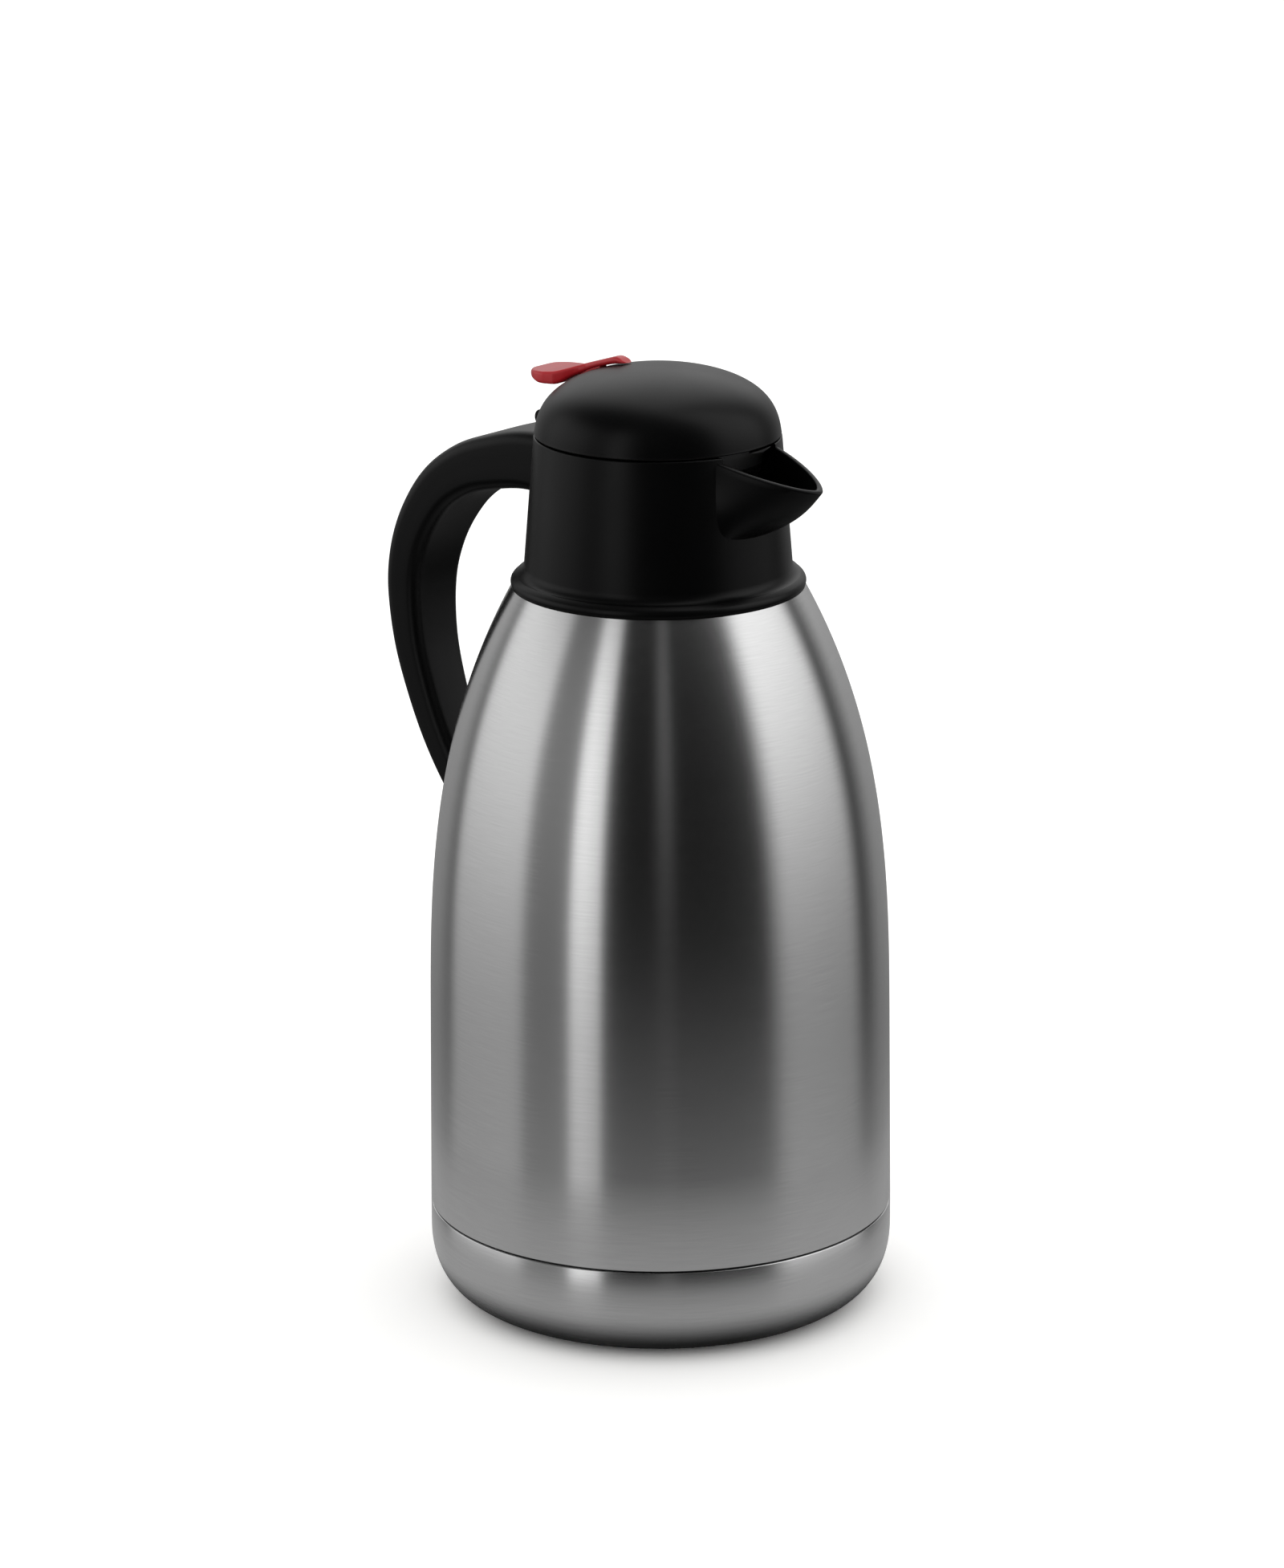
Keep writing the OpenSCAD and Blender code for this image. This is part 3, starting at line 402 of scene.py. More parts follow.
def carve(shape, others, operation="DIFFERENCE"):
    """The shape after other closed shapes are cut from it, or kept with it."""
    base = as_object(shape)
    tools = [as_object(other) for other in others]
    for tool in tools:
        step = base.modifiers.new("carve", "BOOLEAN")
        step.operation, step.solver, step.object = operation, "EXACT", tool
    bpy.context.view_layer.update()
    ready = base.evaluated_get(bpy.context.evaluated_depsgraph_get())
    result = bmesh.new()
    result.from_mesh(ready.to_mesh())
    for used in [base] + tools:
        mesh = used.data
        bpy.data.objects.remove(used)
        bpy.data.meshes.remove(mesh)
    return result


def together(*shapes):
    """Several shapes as one, so that one object holds a whole moulding."""
    result = bmesh.new()
    for shape in shapes:
        mesh = bpy.data.meshes.new("part")
        bmesh.ops.recalc_face_normals(shape, faces=shape.faces[:])
        shape.to_mesh(mesh)
        shape.free()
        result.from_mesh(mesh)
        bpy.data.meshes.remove(mesh)
    return result


CREASE = math.radians(34)     # an edge that turns more than this stays sharp


def piece(name, shape, finish, body, *stands_for):
    """The shape as a smooth object on its body, in place of CAD nodes."""
    for face in shape.faces:
        face.smooth = True
    for edge in shape.edges:
        edge.smooth = len(edge.link_faces) == 2 and edge.calc_face_angle(0) < CREASE
    mesh = bpy.data.meshes.new(name)
    shape.to_mesh(mesh)
    shape.free()
    mesh.materials.append(finish)
    made = bpy.data.objects.new(name, mesh)
    bpy.context.scene.collection.objects.link(made)
    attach(made, body)
    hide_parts(*stands_for)
    print(name, "stands for", ", ".join(stands_for), "-", len(mesh.polygons), "faces")
    return made


def arc(centre_r, centre_z, radius, start, end, steps):
    """Points on an arc in the plane of a profile, in mm and degrees."""
    return [(centre_r + radius * math.cos(math.radians(start + (end - start) * i / steps)),
             centre_z + radius * math.sin(math.radians(start + (end - start) * i / steps)))
            for i in range(steps + 1)]


print("shape helpers ready")

# %% [markdown]
# ## Steel shell and base cap
# On the real jug the shell is one deep-drawn sheet. It narrows by a millimetre
# in every hundred and then also curves in, ever faster towards the neck. A power
# of the height gives that curve. The base cap is a second pressing that
# slips over the shell's lower edge, and the dark line between them is a real
# gap of half a millimetre. Both are turned from closed profiles, so they have
# the sheet's thickness and show an edge at the seam.

# %% Steel shell and base cap
SEAM_Z, NECK_TOP_Z, RIM_Z = 30.7, 244.0, 275.4
SHOULDER_Z, SHOULDER_TOP_Z, SHOULDER_TOP_R = 90.0, 230.6, 43.9
BODY_R, NARROWING, SHOULDER_POWER = 72.5, 1.02, 2.9   # the narrowing is per 100 mm of height
SHELL_WALL, CAP_WALL, NECK_R = 0.8, 0.8, 30.2
SHELL_STEPS = 96


def body_at(z):
    """Outer radius of the steel body at height z."""
    fall = BODY_R - NARROWING * (SHOULDER_TOP_Z - SEAM_Z) / 100 - SHOULDER_TOP_R
    share = max(0, z - SHOULDER_Z) / (SHOULDER_TOP_Z - SHOULDER_Z)
    return BODY_R - NARROWING * (z - SEAM_Z) / 100 - fall * share ** SHOULDER_POWER


heights = [SHOULDER_Z - 30 + (SHOULDER_TOP_Z - SHOULDER_Z + 30) * i / SHELL_STEPS
           for i in range(SHELL_STEPS + 1)]
tuck_r = body_at(SEAM_Z) - CAP_WALL - 0.1
shell = ([(body_at(SEAM_Z) - 0.4, SEAM_Z), (body_at(SEAM_Z) - 0.12, SEAM_Z + 0.12),
          (body_at(SEAM_Z), SEAM_Z + 0.4)]
         + [(body_at(z), z) for z in heights]
         + [(NECK_R + 1.4, NECK_TOP_Z - 5), (NECK_R, NECK_TOP_Z - 3.6),
            (NECK_R, NECK_TOP_Z - 0.7), (NECK_R - 0.8, NECK_TOP_Z - 0.7),
            (NECK_R - 0.8, NECK_TOP_Z - 4.1), (NECK_R + 0.4, NECK_TOP_Z - 5.6)]
         + [(body_at(z) - SHELL_WALL, z - SHELL_WALL * i / SHELL_STEPS)
            for i, z in reversed(list(enumerate(heights)))]
         + [(body_at(SEAM_Z) - SHELL_WALL, SEAM_Z + 2.6), (tuck_r - SHELL_WALL, SEAM_Z + 1.2),
            (tuck_r - SHELL_WALL, SEAM_Z - 7.6), (tuck_r, SEAM_Z - 7.6), (tuck_r, SEAM_Z)])
piece("steel_shell", turn(shell), body_steel, "vessel", "outer_shell")

ROUND_W, ROUND_H, ROUND_POWER = 18.6, 22.1, 2.25      # the rounded edge, a superellipse


def rounded_edge(inset, count=40):
    """The rounded edge under the base, set in by the sheet's thickness."""
    points = []
    for i in range(count + 1):
        a = math.pi / 2 * i / count
        points.append((BODY_R - ROUND_W + (ROUND_W - inset) * math.sin(a) ** (2 / ROUND_POWER),
                       ROUND_H - (ROUND_H - inset) * max(0, math.cos(a)) ** (2 / ROUND_POWER)))
    return points


cap_top = SEAM_Z - 0.55
cap = ([(0, 2.6), (BODY_R - ROUND_W - 9, 2.6), (BODY_R - ROUND_W - 7.4, 2.3),
        (BODY_R - ROUND_W - 5.6, 0.2), (BODY_R - ROUND_W - 4.6, 0)]
       + rounded_edge(0)
       + [(BODY_R, cap_top - 0.3), (BODY_R - 0.1, cap_top - 0.08), (BODY_R - 0.3, cap_top),
          (BODY_R - CAP_WALL, cap_top)]
       + rounded_edge(CAP_WALL)[::-1]
       + [(BODY_R - ROUND_W - 4.6, CAP_WALL), (BODY_R - ROUND_W - 8.6, 3.4), (0, 3.4)])
piece("steel_base", turn(cap), body_steel, "vessel", "base_cap")

# %% [markdown]
# ## Domed lid
# The dome is an injection moulding of even thickness. Its sides rise nearly
# straight from the seam and then roll over into a flat crown, which is a
# superellipse rather than part of a ball. The slot under the lever's arm lets
# the lever's web into the lid, two lugs inside carry the lever's pin, and the
# knuckle at the back turns on the hinge pin.

# %% Domed lid
DOME_R, DOME_MID_Z, DOME_H, DOME_WALL = 38.07, RIM_Z - 11.1, 32.3, 2.4
DOME_P, DOME_Q = 1.94, 4.12                     # the superellipse's powers
DOME_BASE_Z = RIM_Z + 0.45
HINGE_X, HINGE_Z, PIVOT_X, PIVOT_Z = 41.4, RIM_Z + 0.6, 26.0, RIM_Z + 9.1
EYE_R, HINGE_BORE_R, KNUCKLE_HALF_W = 2.6, 1.25, 3.2


def dome_curve(inset, count=84):
    """The dome's profile from its lower edge to its top, set in by inset."""
    radius, height = DOME_R - inset, DOME_H - inset
    start = math.asin((max(0, DOME_BASE_Z - DOME_MID_Z) / height) ** (DOME_Q / 2))
    points = []
    for i in range(count + 1):
        a = start + (math.pi / 2 - start) * (i / count) ** 1.25
        points.append((radius * max(0, math.cos(a)) ** (2 / DOME_P),
                       DOME_MID_Z + height * math.sin(a) ** (2 / DOME_Q)))
    points[-1] = (0, DOME_MID_Z + height)
    return points


def dome_top_at(x):
    """Height of the dome's outside at distance x from the axis."""
    return DOME_MID_Z + DOME_H * (1 - min(1, abs(x) / DOME_R) ** DOME_P) ** (1 / DOME_Q)


def hinge_bar(low_y, high_y, radius):
    """A round bar about the lid's hinge."""
    return bar((-HINGE_X, low_y, HINGE_Z), (-HINGE_X, high_y, HINGE_Z), radius)


foot_r = dome_curve(0)[0][0]
outside = [(foot_r - 0.35, DOME_BASE_Z), (foot_r - 0.1, DOME_BASE_Z + 0.1),
           (foot_r + 0.01, DOME_BASE_Z + 0.35)]
outside += [p for p in dome_curve(0) if p[1] > DOME_BASE_Z + 0.6]
dome = turn(outside + dome_curve(DOME_WALL)[::-1])
slot = prism([(-PIVOT_X - 6.4, PIVOT_Z), (-PIVOT_X + 5.4, PIVOT_Z),
              (-PIVOT_X + 5.4, PIVOT_Z + 30), (-PIVOT_X - 6.4, PIVOT_Z + 30)], -2.1, 2.1)
dome = carve(dome, [slot])
lugs = []
for side in (-1, 1):
    lugs.append(prism([(-PIVOT_X - 3.5, PIVOT_Z - 3.2), (-PIVOT_X + 3.5, PIVOT_Z - 3.2),
                       (-PIVOT_X + 3.5, dome_top_at(PIVOT_X - 3.5) - 1.2),
                       (-PIVOT_X - 3.5, dome_top_at(PIVOT_X + 3.5) - 1.2)],
                      *sorted((side * 3.2, side * 5.6))))
for angle in (0, 120, 240):
    x, y = 26 * math.cos(math.radians(angle)), 26 * math.sin(math.radians(angle))
    lugs.append(bar((x, y, RIM_Z + 0.85), (x, y, dome_top_at(29.2) - 1.4), 3.2, 40))
knuckle = carve(hinge_bar(-KNUCKLE_HALF_W, KNUCKLE_HALF_W, EYE_R),
                [hinge_bar(-4, 4, HINGE_BORE_R)])
tongue = carve(prism([(-HINGE_X, DOME_BASE_Z), (-36.5, DOME_BASE_Z), (-36.5, DOME_BASE_Z + 3),
                      (-HINGE_X + 1, DOME_BASE_Z + 2.75)], -KNUCKLE_HALF_W, KNUCKLE_HALF_W),
               [hinge_bar(-4, 4, 2.4)])
piece("domed_lid", together(dome, knuckle, tongue, *lugs), black_plastic, "lid", "lid_dome")

# %% [markdown]
# ## Collar with its spout
# The collar clamps the steel shell at its bead and holds everything above it.
# Its outside is a slightly conical ring, and its inside a funnel for the plug.
# The spout is a thin-walled trough whose rim dips towards the tip. The trough
# is a skin of loops: up the outside, over a rounded lip, and down the inside.
# The collar's wall is cut open behind it, so the drink has its way out.

# %% Collar with its spout
COLLAR_LOW_R, COLLAR_RIM_R, COLLAR_WALL = 41.2, 38.0, 2.4
FILLET_Z, FOOT_Z = NECK_TOP_Z - 8.4, NECK_TOP_Z - 15.4
SPOUT_ROOT_X, SPOUT_REACH, SPOUT_HALF_W, SPOUT_WALL = 34.4, 63.9, 14.9, 2.2
SPOUT_ROOT_Z, SPOUT_STEP, SPOUT_DROP, SPOUT_BELLY = RIM_Z - 26.1, 1.0, 8.7, 4.0
SPOUT_ROOT_ANGLE = math.radians(27)             # half the width of its root on the collar
SPOUT_POWER = 1.54                              # 2 would be an oval rim, 1 a pointed one
LIP_START, LIP_STEPS, WALL_STEPS = 0.962, 8, 14
TROUGH_STEPS, CAVITY_STEPS = 36, 18
TO_EDGE = 0.999                                 # keeps both ends of a loop apart


def collar_at(z):
    """Outer radius of the collar's cone at height z."""
    return COLLAR_LOW_R - (COLLAR_LOW_R - COLLAR_RIM_R) * (z - FILLET_Z) / (RIM_Z - FILLET_Z)


def crown_at(r):
    """Height of the steel shell's crown at radius r, which the collar sits on."""
    return SHOULDER_TOP_Z + 8.4 * (SHOULDER_TOP_R - r) / (SHOULDER_TOP_R - NECK_R - 1.4)


def spout_rim(t, inset):
    """Point on the spout's rim: t is -1 and 1 at the collar, 0 at the tip."""
    a = math.pi / 2 * (1 - abs(t))
    x = SPOUT_ROOT_X + (SPOUT_REACH - inset - SPOUT_ROOT_X) * math.sin(a) ** (2 / SPOUT_POWER)
    y = (SPOUT_HALF_W - inset) * max(0, math.cos(a)) ** (2 / SPOUT_POWER) * (1 if t > 0 else -1)
    fall = (SPOUT_DROP - SPOUT_STEP) * (x - SPOUT_ROOT_X) / (SPOUT_REACH - SPOUT_ROOT_X)
    return Vector((x, y, RIM_Z - SPOUT_STEP - fall))


def spout_root(t, inset):
    """Point on the spout's root, a little inside the collar's outer face."""
    radius = collar_at(SPOUT_ROOT_Z) - 1.1 - inset
    a = (SPOUT_ROOT_ANGLE - inset / radius) * t
    return Vector((radius * math.cos(a), radius * math.sin(a), SPOUT_ROOT_Z + inset * 1.6))


def spout_point(s, t, inset):
    """Point on the trough: s is 0 at its root and 1 at its rim."""
    point = spout_root(t, inset) * (1 - s) + spout_rim(t, inset) * s
    point.x += SPOUT_BELLY * math.sin(math.pi * min(1, s) ** 0.83) * (1 - abs(t))
    return point


def spout_wall(t):
    """One section of the trough's wall: up the outside, over the lip, down the inside."""
    shares = [LIP_START * i / WALL_STEPS for i in range(WALL_STEPS + 1)]
    outside = [spout_point(s, t, 0) for s in shares]
    inside = [spout_point(s, t, SPOUT_WALL) for s in reversed(shares)]
    middle, half = (outside[-1] + inside[0]) / 2, (outside[-1] - inside[0]) / 2
    height = spout_rim(t, SPOUT_WALL / 2).z - middle.z
    lip = [middle + half * math.cos(a) + Vector((0, 0, height * math.sin(a)))
           for a in [math.pi * k / LIP_STEPS for k in range(1, LIP_STEPS)]]
    return outside + lip + inside


trough = skin([spout_wall(k / TROUGH_STEPS * TO_EDGE)
               for k in range(-TROUGH_STEPS, TROUGH_STEPS + 1)])
cavity = skin([[spout_point(1.15 * i / 10, k / CAVITY_STEPS * TO_EDGE, SPOUT_WALL)
                for k in range(-CAVITY_STEPS, CAVITY_STEPS + 1)]
               + [Vector((20, 10, spout_point(1.15 * i / 10, 1, SPOUT_WALL).z)),
                  Vector((20, -10, spout_point(1.15 * i / 10, -1, SPOUT_WALL).z))]
               for i in range(11)])

funnel_low, funnel_high = 23.5, 34.7
plug_foot_z, shoulder_z = NECK_TOP_Z + 3, RIM_Z - 6
neck_r = NECK_R + 0.3
ring = turn([(body_at(FOOT_Z) + 0.1, FOOT_Z)]
            + arc(body_at(FOOT_Z) - 1.45, FOOT_Z + 1.4, 1.85, -33, 55, 18)
            + arc(COLLAR_LOW_R + 3.4, FILLET_Z, 3.4, 256, 180, 18)
            + arc(COLLAR_RIM_R - 0.5, RIM_Z - 0.5, 0.5, 5, 90, 5)
            + [(COLLAR_RIM_R - 2, RIM_Z), (COLLAR_RIM_R - 2, shoulder_z + 2.4),
               (funnel_high, shoulder_z), (funnel_low, plug_foot_z),
               (funnel_low, NECK_TOP_Z + 1.3), (neck_r, NECK_TOP_Z + 1.3),
               (neck_r, NECK_TOP_Z - 3.2), (neck_r + 2, NECK_TOP_Z - 3.2),
               (neck_r + 2, plug_foot_z + 0.5),
               (funnel_low + COLLAR_WALL + 0.25, plug_foot_z + 0.5),
               (COLLAR_RIM_R - COLLAR_WALL + 0.6, plug_foot_z + 20.6),
               (COLLAR_LOW_R - COLLAR_WALL, crown_at(COLLAR_LOW_R - COLLAR_WALL) + 0.6),
               (COLLAR_LOW_R - 0.6, crown_at(COLLAR_LOW_R - 0.6) + 0.5),
               (SHOULDER_TOP_R + 0.35, SHOULDER_TOP_Z + 0.2),
               (body_at(SHOULDER_TOP_Z - 0.6) + 0.25, SHOULDER_TOP_Z - 0.6)])
ring = carve(ring, [cavity])
ears = []
for side in (-1, 1):
    low, high = sorted((side * 3.5, side * 6.5))
    plate = prism([(-COLLAR_RIM_R + 0.8, RIM_Z - 2.6), (-COLLAR_RIM_R + 0.8, RIM_Z - 0.7),
                   (-COLLAR_RIM_R - 0.05, RIM_Z - 0.65), (-HINGE_X + 1.9, HINGE_Z + 1.75),
                   (-HINGE_X, HINGE_Z), (-HINGE_X - 0.4, HINGE_Z - 2.5)], low, high)
    eyed = carve(plate, [hinge_bar(low, high, EYE_R)], "UNION")
    ears.append(carve(eyed, [hinge_bar(low - 1, high + 1, HINGE_BORE_R)]))
ribs = []
for angle in (60, 105, 150, 210, 255, 300):
    rib = prism([(NECK_R + 1.6, NECK_TOP_Z + 0.4), (COLLAR_LOW_R - 2.2, NECK_TOP_Z - 2.4),
                 (COLLAR_LOW_R - 2.6, RIM_Z - 16), (36.0, RIM_Z - 16), (31.4, NECK_TOP_Z + 5.6)],
                -0.8, 0.8)
    bmesh.ops.rotate(rib, verts=rib.verts[:], cent=(0, 0, 0),
                     matrix=Matrix.Rotation(math.radians(angle), 3, "Z"))
    ribs.append(rib)
piece("spouted_collar", together(ring, trough, *ears, *ribs), black_plastic, "vessel",
      "pour_collar")

# %% [markdown]
# ## Handle
# The handle is one moulding that leaves the collar level, arches out and down
# round the grip, and comes back to the body above its waist. It could be shaped
# by eye, but its middle line is a curve through fourteen measured points, and
# its section a rectangle with rounded corners that grows thinner on its way
# down. Its root is cut to the collar's cone and its foot to the steel shell.

# %% Handle
HANDLE_REACH, HANDLE_EDGE_R, HANDLE_MID_U = 97.7, 4.0, 0.54
HANDLE_LINE = [(-0.13, 12.6), (0.12, 12.6), (0.33, 15), (0.53, 18.9), (0.72, 26.3),
               (0.865, 36.9), (0.96, 48.9), (1, 62), (0.98, 78.9), (0.908, 94.8),
               (0.806, 109.7), (0.673, 123), (0.513, 134.4), (0.362, 141.2)]
handle_path = [Vector((-COLLAR_RIM_R - share * (HANDLE_REACH - COLLAR_RIM_R), RIM_Z - drop))
               for share, drop in HANDLE_LINE]


def handle_middle(u):
    """Point on a smooth curve through the path; u is 0 at the root and 1 at the foot."""
    last = len(handle_path) - 1
    k = min(last - 1, int(u * last))
    t = u * last - k
    q, r = handle_path[k], handle_path[k + 1]
    p = handle_path[k - 1] if k > 0 else 2 * q - r
    s = handle_path[k + 2] if k < last - 1 else 2 * r - q
    return 0.5 * (2 * q + (r - p) * t + (2 * p - 5 * q + 4 * r - s) * t ** 2
                  + (3 * q - p - 3 * r + s) * t ** 3)


def handle_size(u):
    """Width and depth of the section at u: widest at the root, thinnest at the foot."""
    if u < HANDLE_MID_U:
        return (27.6 - 5.3 * (u / HANDLE_MID_U) ** 2.4,
                13.7 + 6.3 * (1 - u / HANDLE_MID_U) ** 1.6)
    low = 1 - (1 - (u - HANDLE_MID_U) / (1 - HANDLE_MID_U)) ** 2
    return 22.3 - 4.5 * low, 13.7 - 3.2 * low


def handle_section(u, corner_steps=10, flat_steps=3):
    """Loop of points round the handle at u."""
    middle = handle_middle(u)
    slope = handle_middle(min(1, u + 0.01)) - handle_middle(max(0, u - 0.01))
    normal = Vector((-slope.y, slope.x)).normalized()
    wide, deep = handle_size(u)
    corners = []
    for turn_by, (sx, sy) in enumerate(((1, 1), (-1, 1), (-1, -1), (1, -1))):
        for k in range(corner_steps + 1):
            a = math.radians(90 * turn_by + 90 * k / corner_steps)
            corners.append(Vector((
                sx * (wide / 2 - HANDLE_EDGE_R) + HANDLE_EDGE_R * math.cos(a),
                sy * (deep / 2 - HANDLE_EDGE_R) + HANDLE_EDGE_R * math.sin(a))))
    loop = []
    for k, point in enumerate(corners):
        loop.append(point)
        if k % (corner_steps + 1) == corner_steps:
            following = corners[(k + 1) % len(corners)]
            loop += [point.lerp(following, i / flat_steps) for i in range(1, flat_steps)]
    return [(middle.x + normal.x * q.y, q.x, middle.y + normal.y * q.y) for q in loop]


STATIONS, CUT_SEGMENTS = 150, 192
loft = skin([handle_section(i / STATIONS) for i in range(STATIONS + 1)])
body_cut = turn([(0, 100)] + [(body_at(z) + 0.1, z) for z in range(100, 231, 2)] + [(0, 230)],
                CUT_SEGMENTS)
collar_cut = turn([(0, FOOT_Z), (COLLAR_LOW_R + 0.1, FILLET_Z), (COLLAR_RIM_R + 0.1, RIM_Z),
                   (0, RIM_Z)], CUT_SEGMENTS)
foot_z = NECK_TOP_Z - 99.5
bracket_x = body_at(foot_z)
pocket = skin([[(-bracket_x - 2.7, y, foot_z - 3.3), (-bracket_x + 6, y, foot_z - 3.3),
                (-bracket_x + 6, y, foot_z + 3.3), (-bracket_x - 2.7, y, foot_z + 3.3)]
               for y in (-4.6, 4.6)])
bores = [bar((-bracket_x + 3, 0, foot_z), (-bracket_x - 30, 0, foot_z), 2.1),
         bar((-bracket_x - 5.55, 0, foot_z), (-bracket_x - 40, 0, foot_z), 3.6)]
bores += [bar((-COLLAR_RIM_R + 1, y, RIM_Z - 17.2), (-COLLAR_RIM_R - 14, y, RIM_Z - 17.2), 1.45)
          for y in (-8, 8)]
loft = carve(loft, [body_cut, collar_cut, pocket] + bores)
piece("side_handle", loft, black_plastic, "vessel", "handle")

# %% [markdown]
# ## Thumb lever
# The red lever is a small moulding: a round thumb pad behind the dome, a narrow
# arm that lies close over it, and a web that dips through the slot to the
# pivot. Its edges are rounded by about a millimetre. A bevel on a cut shape
# breaks up where pad meets arm, so here the height falls off with the distance
# to the outline, which rounds every edge evenly.

# %% Thumb lever
PAD_R, PAD_X, PAD_Z, ARM_HALF_W = 9.0, 39.1, RIM_Z + 15.8, 2.1
TIP_X, TIP_Z, EDGE = 13.2, RIM_Z + 22.6, 1.15
BOSS_HALF_W, BOSS_R, PIVOT_BORE_R = 2.9, 3.1, 1.3

half_plan = [(-PAD_X - PAD_R * math.cos(a), PAD_R * math.sin(a))
             for a in [math.radians(k) for k in range(0, 95, 2)]]
half_plan += [(-PAD_X + 3.6, PAD_R - 0.8), (-PAD_X + 6.2, 6.1), (-PIVOT_X - 4.6, 3.75),
              (-PIVOT_X - 3.2, ARM_HALF_W + 0.75), (-PIVOT_X - 1, ARM_HALF_W + 0.02)]
half_plan += [(-TIP_X + ARM_HALF_W * math.sin(math.radians(k)),
               ARM_HALF_W * math.cos(math.radians(k))) for k in range(0, 91, 6)]
# height of the lever's top and underside, as points in X and Z
lever_top = [(-PAD_X - PAD_R - 1, PAD_Z - 1.6), (-PAD_X - PAD_R + 0.6, PAD_Z - 0.8),
             (-PAD_X - PAD_R + 2, PAD_Z - 0.2), (-PAD_X, PAD_Z), (-PAD_X + 4, PAD_Z + 0.4),
             (-PIVOT_X - 4.6, PAD_Z + 1.9), (-PIVOT_X - 1, PAD_Z + 3.1), (-TIP_X - 2, TIP_Z),
             (-TIP_X - 0.6, TIP_Z - 0.4), (-TIP_X + 2.2, TIP_Z - 1.9)]
lever_low = [(-PAD_X - PAD_R - 1, PAD_Z - 1.8), (-PAD_X - PAD_R + 0.6, PAD_Z - 2.2),
             (-PAD_X - PAD_R + 2, PAD_Z - 3), (-PAD_X - 2, PAD_Z - 3.9),
             (-PIVOT_X - 8.6, PAD_Z - 3.8)]
lever_low += [(-x / 2, dome_top_at(x / 2) + 0.35 + 0.16 * max(0, x / 2 - PIVOT_X - 1.5))
              for x in range(66, 21, -2)]


def along(points, x):
    """Height on a run of straight lines, ordered by x."""
    for (ax, az), (bx, bz) in zip(points, points[1:]):
        if x <= bx:
            return az + (bz - az) * max(0, x - ax) / (bx - ax)
    return points[-1][1]


def softened(points, x, reach=0.9):
    """The same height as a mean over a short reach, so that no corner shows."""
    return sum(along(points, x + reach * k / 4) for k in range(-4, 5)) / 9


def to_outline(x, y):
    """Distance in the plan from a point to the lever's outline."""
    best = 99
    for (ax, ay), (bx, by) in zip(half_plan, half_plan[1:]):
        dx, dy = bx - ax, by - ay
        size = dx * dx + dy * dy
        t = 0 if size == 0 else max(0, min(1, ((x - ax) * dx + (y - ay) * dy) / size))
        best = min(best, math.hypot(x - ax - t * dx, y - ay - t * dy))
    return best


def lever_section(x, half_w):
    """Loop of points round the lever at x; both faces draw in near the outline."""
    top, low = softened(lever_top, x), softened(lever_low, x)
    edge = min(EDGE, (top - low) / 2 - 0.02)
    loop = []
    spread = [math.sin(math.pi / 2 * k / 16) for k in range(-16, 17)]
    for sign in (1, -1):
        for v in (spread if sign > 0 else spread[::-1]):
            depth = max(0, edge - to_outline(x, abs(v) * half_w))
            drop = edge - math.sqrt(max(0, edge ** 2 - depth ** 2))   # a quarter circle
            loop.append((x, v * half_w, (top - drop) if sign > 0 else (low + drop)))
    return loop


plan_x = sorted({round(x, 4) for x, _ in half_plan}
                | {round(-PAD_X + 1 + 0.8 * k, 4) for k in range(35)}
                | {round(-TIP_X + 0.25 * k, 4) for k in range(8)})


def plan_half_width(x):
    """Half the lever's width at x, from its outline."""
    for (ax, ay), (bx, by) in zip(half_plan, half_plan[1:]):
        if ax <= x <= bx and bx > ax:
            return ay + (by - ay) * (x - ax) / (bx - ax)
    return 0


ends = (half_plan[0][0] + 0.004, half_plan[-1][0] - 0.004)
plan_x = [ends[0]] + [x for x in plan_x if ends[0] + 0.003 < x < ends[1] - 0.003] + [ends[1]]
arm = skin([lever_section(x, max(0.02, plan_half_width(x))) for x in plan_x])


def pivot_bar(half_w, radius):
    """A round bar about the lever's pivot."""
    return bar((-PIVOT_X, -half_w, PIVOT_Z), (-PIVOT_X, half_w, PIVOT_Z), radius)


web = prism([(-PIVOT_X - 4.4, RIM_Z + 16), (-PIVOT_X - 4, RIM_Z + 14.4),
             (-PIVOT_X - 3.1, PIVOT_Z), (-PIVOT_X + 3.1, PIVOT_Z),
             (-PIVOT_X + 4, RIM_Z + 15.4), (-PIVOT_X + 4.4, RIM_Z + 19)], -1.6, 1.6)
fork_low = RIM_Z + 1.5
fork = prism([(-PIVOT_X - 1.6, PIVOT_Z - 2.6), (-PIVOT_X + 2.4, PIVOT_Z - 1.9),
              (-9, fork_low + 3), (-3, fork_low + 2), (3.4, fork_low + 2), (3.4, fork_low),
              (-9, fork_low), (-PIVOT_X + 1.4, PIVOT_Z - 4.6)], -4.4, 4.4)
fork_slot = prism([(-5.6, fork_low - 1), (10, fork_low - 1), (10, fork_low + 7),
                   (-5.6, fork_low + 7)], -2.5, 2.5)
lobe = bar((0, -4.4, fork_low + 2), (0, 4.4, fork_low + 2), 1.2, 40)
sides_off = [prism([(-PIVOT_X - 5, PIVOT_Z - 5.2), (-PIVOT_X + 4.4, PIVOT_Z - 5.2),
                    (-PIVOT_X + 4.4, PIVOT_Z + 1.8), (-PIVOT_X - 5, PIVOT_Z + 1.8)],
                   *sorted((side * BOSS_HALF_W, side * 11))) for side in (-1, 1)]
boss = carve(pivot_bar(BOSS_HALF_W, BOSS_R), [pivot_bar(10, PIVOT_BORE_R)])
fork = carve(carve(fork, [lobe], "UNION"),
             [fork_slot, pivot_bar(10, PIVOT_BORE_R)] + sides_off)
piece("red_lever", together(arm, web, boss, fork), red_plastic, "lever", "thumb_lever")

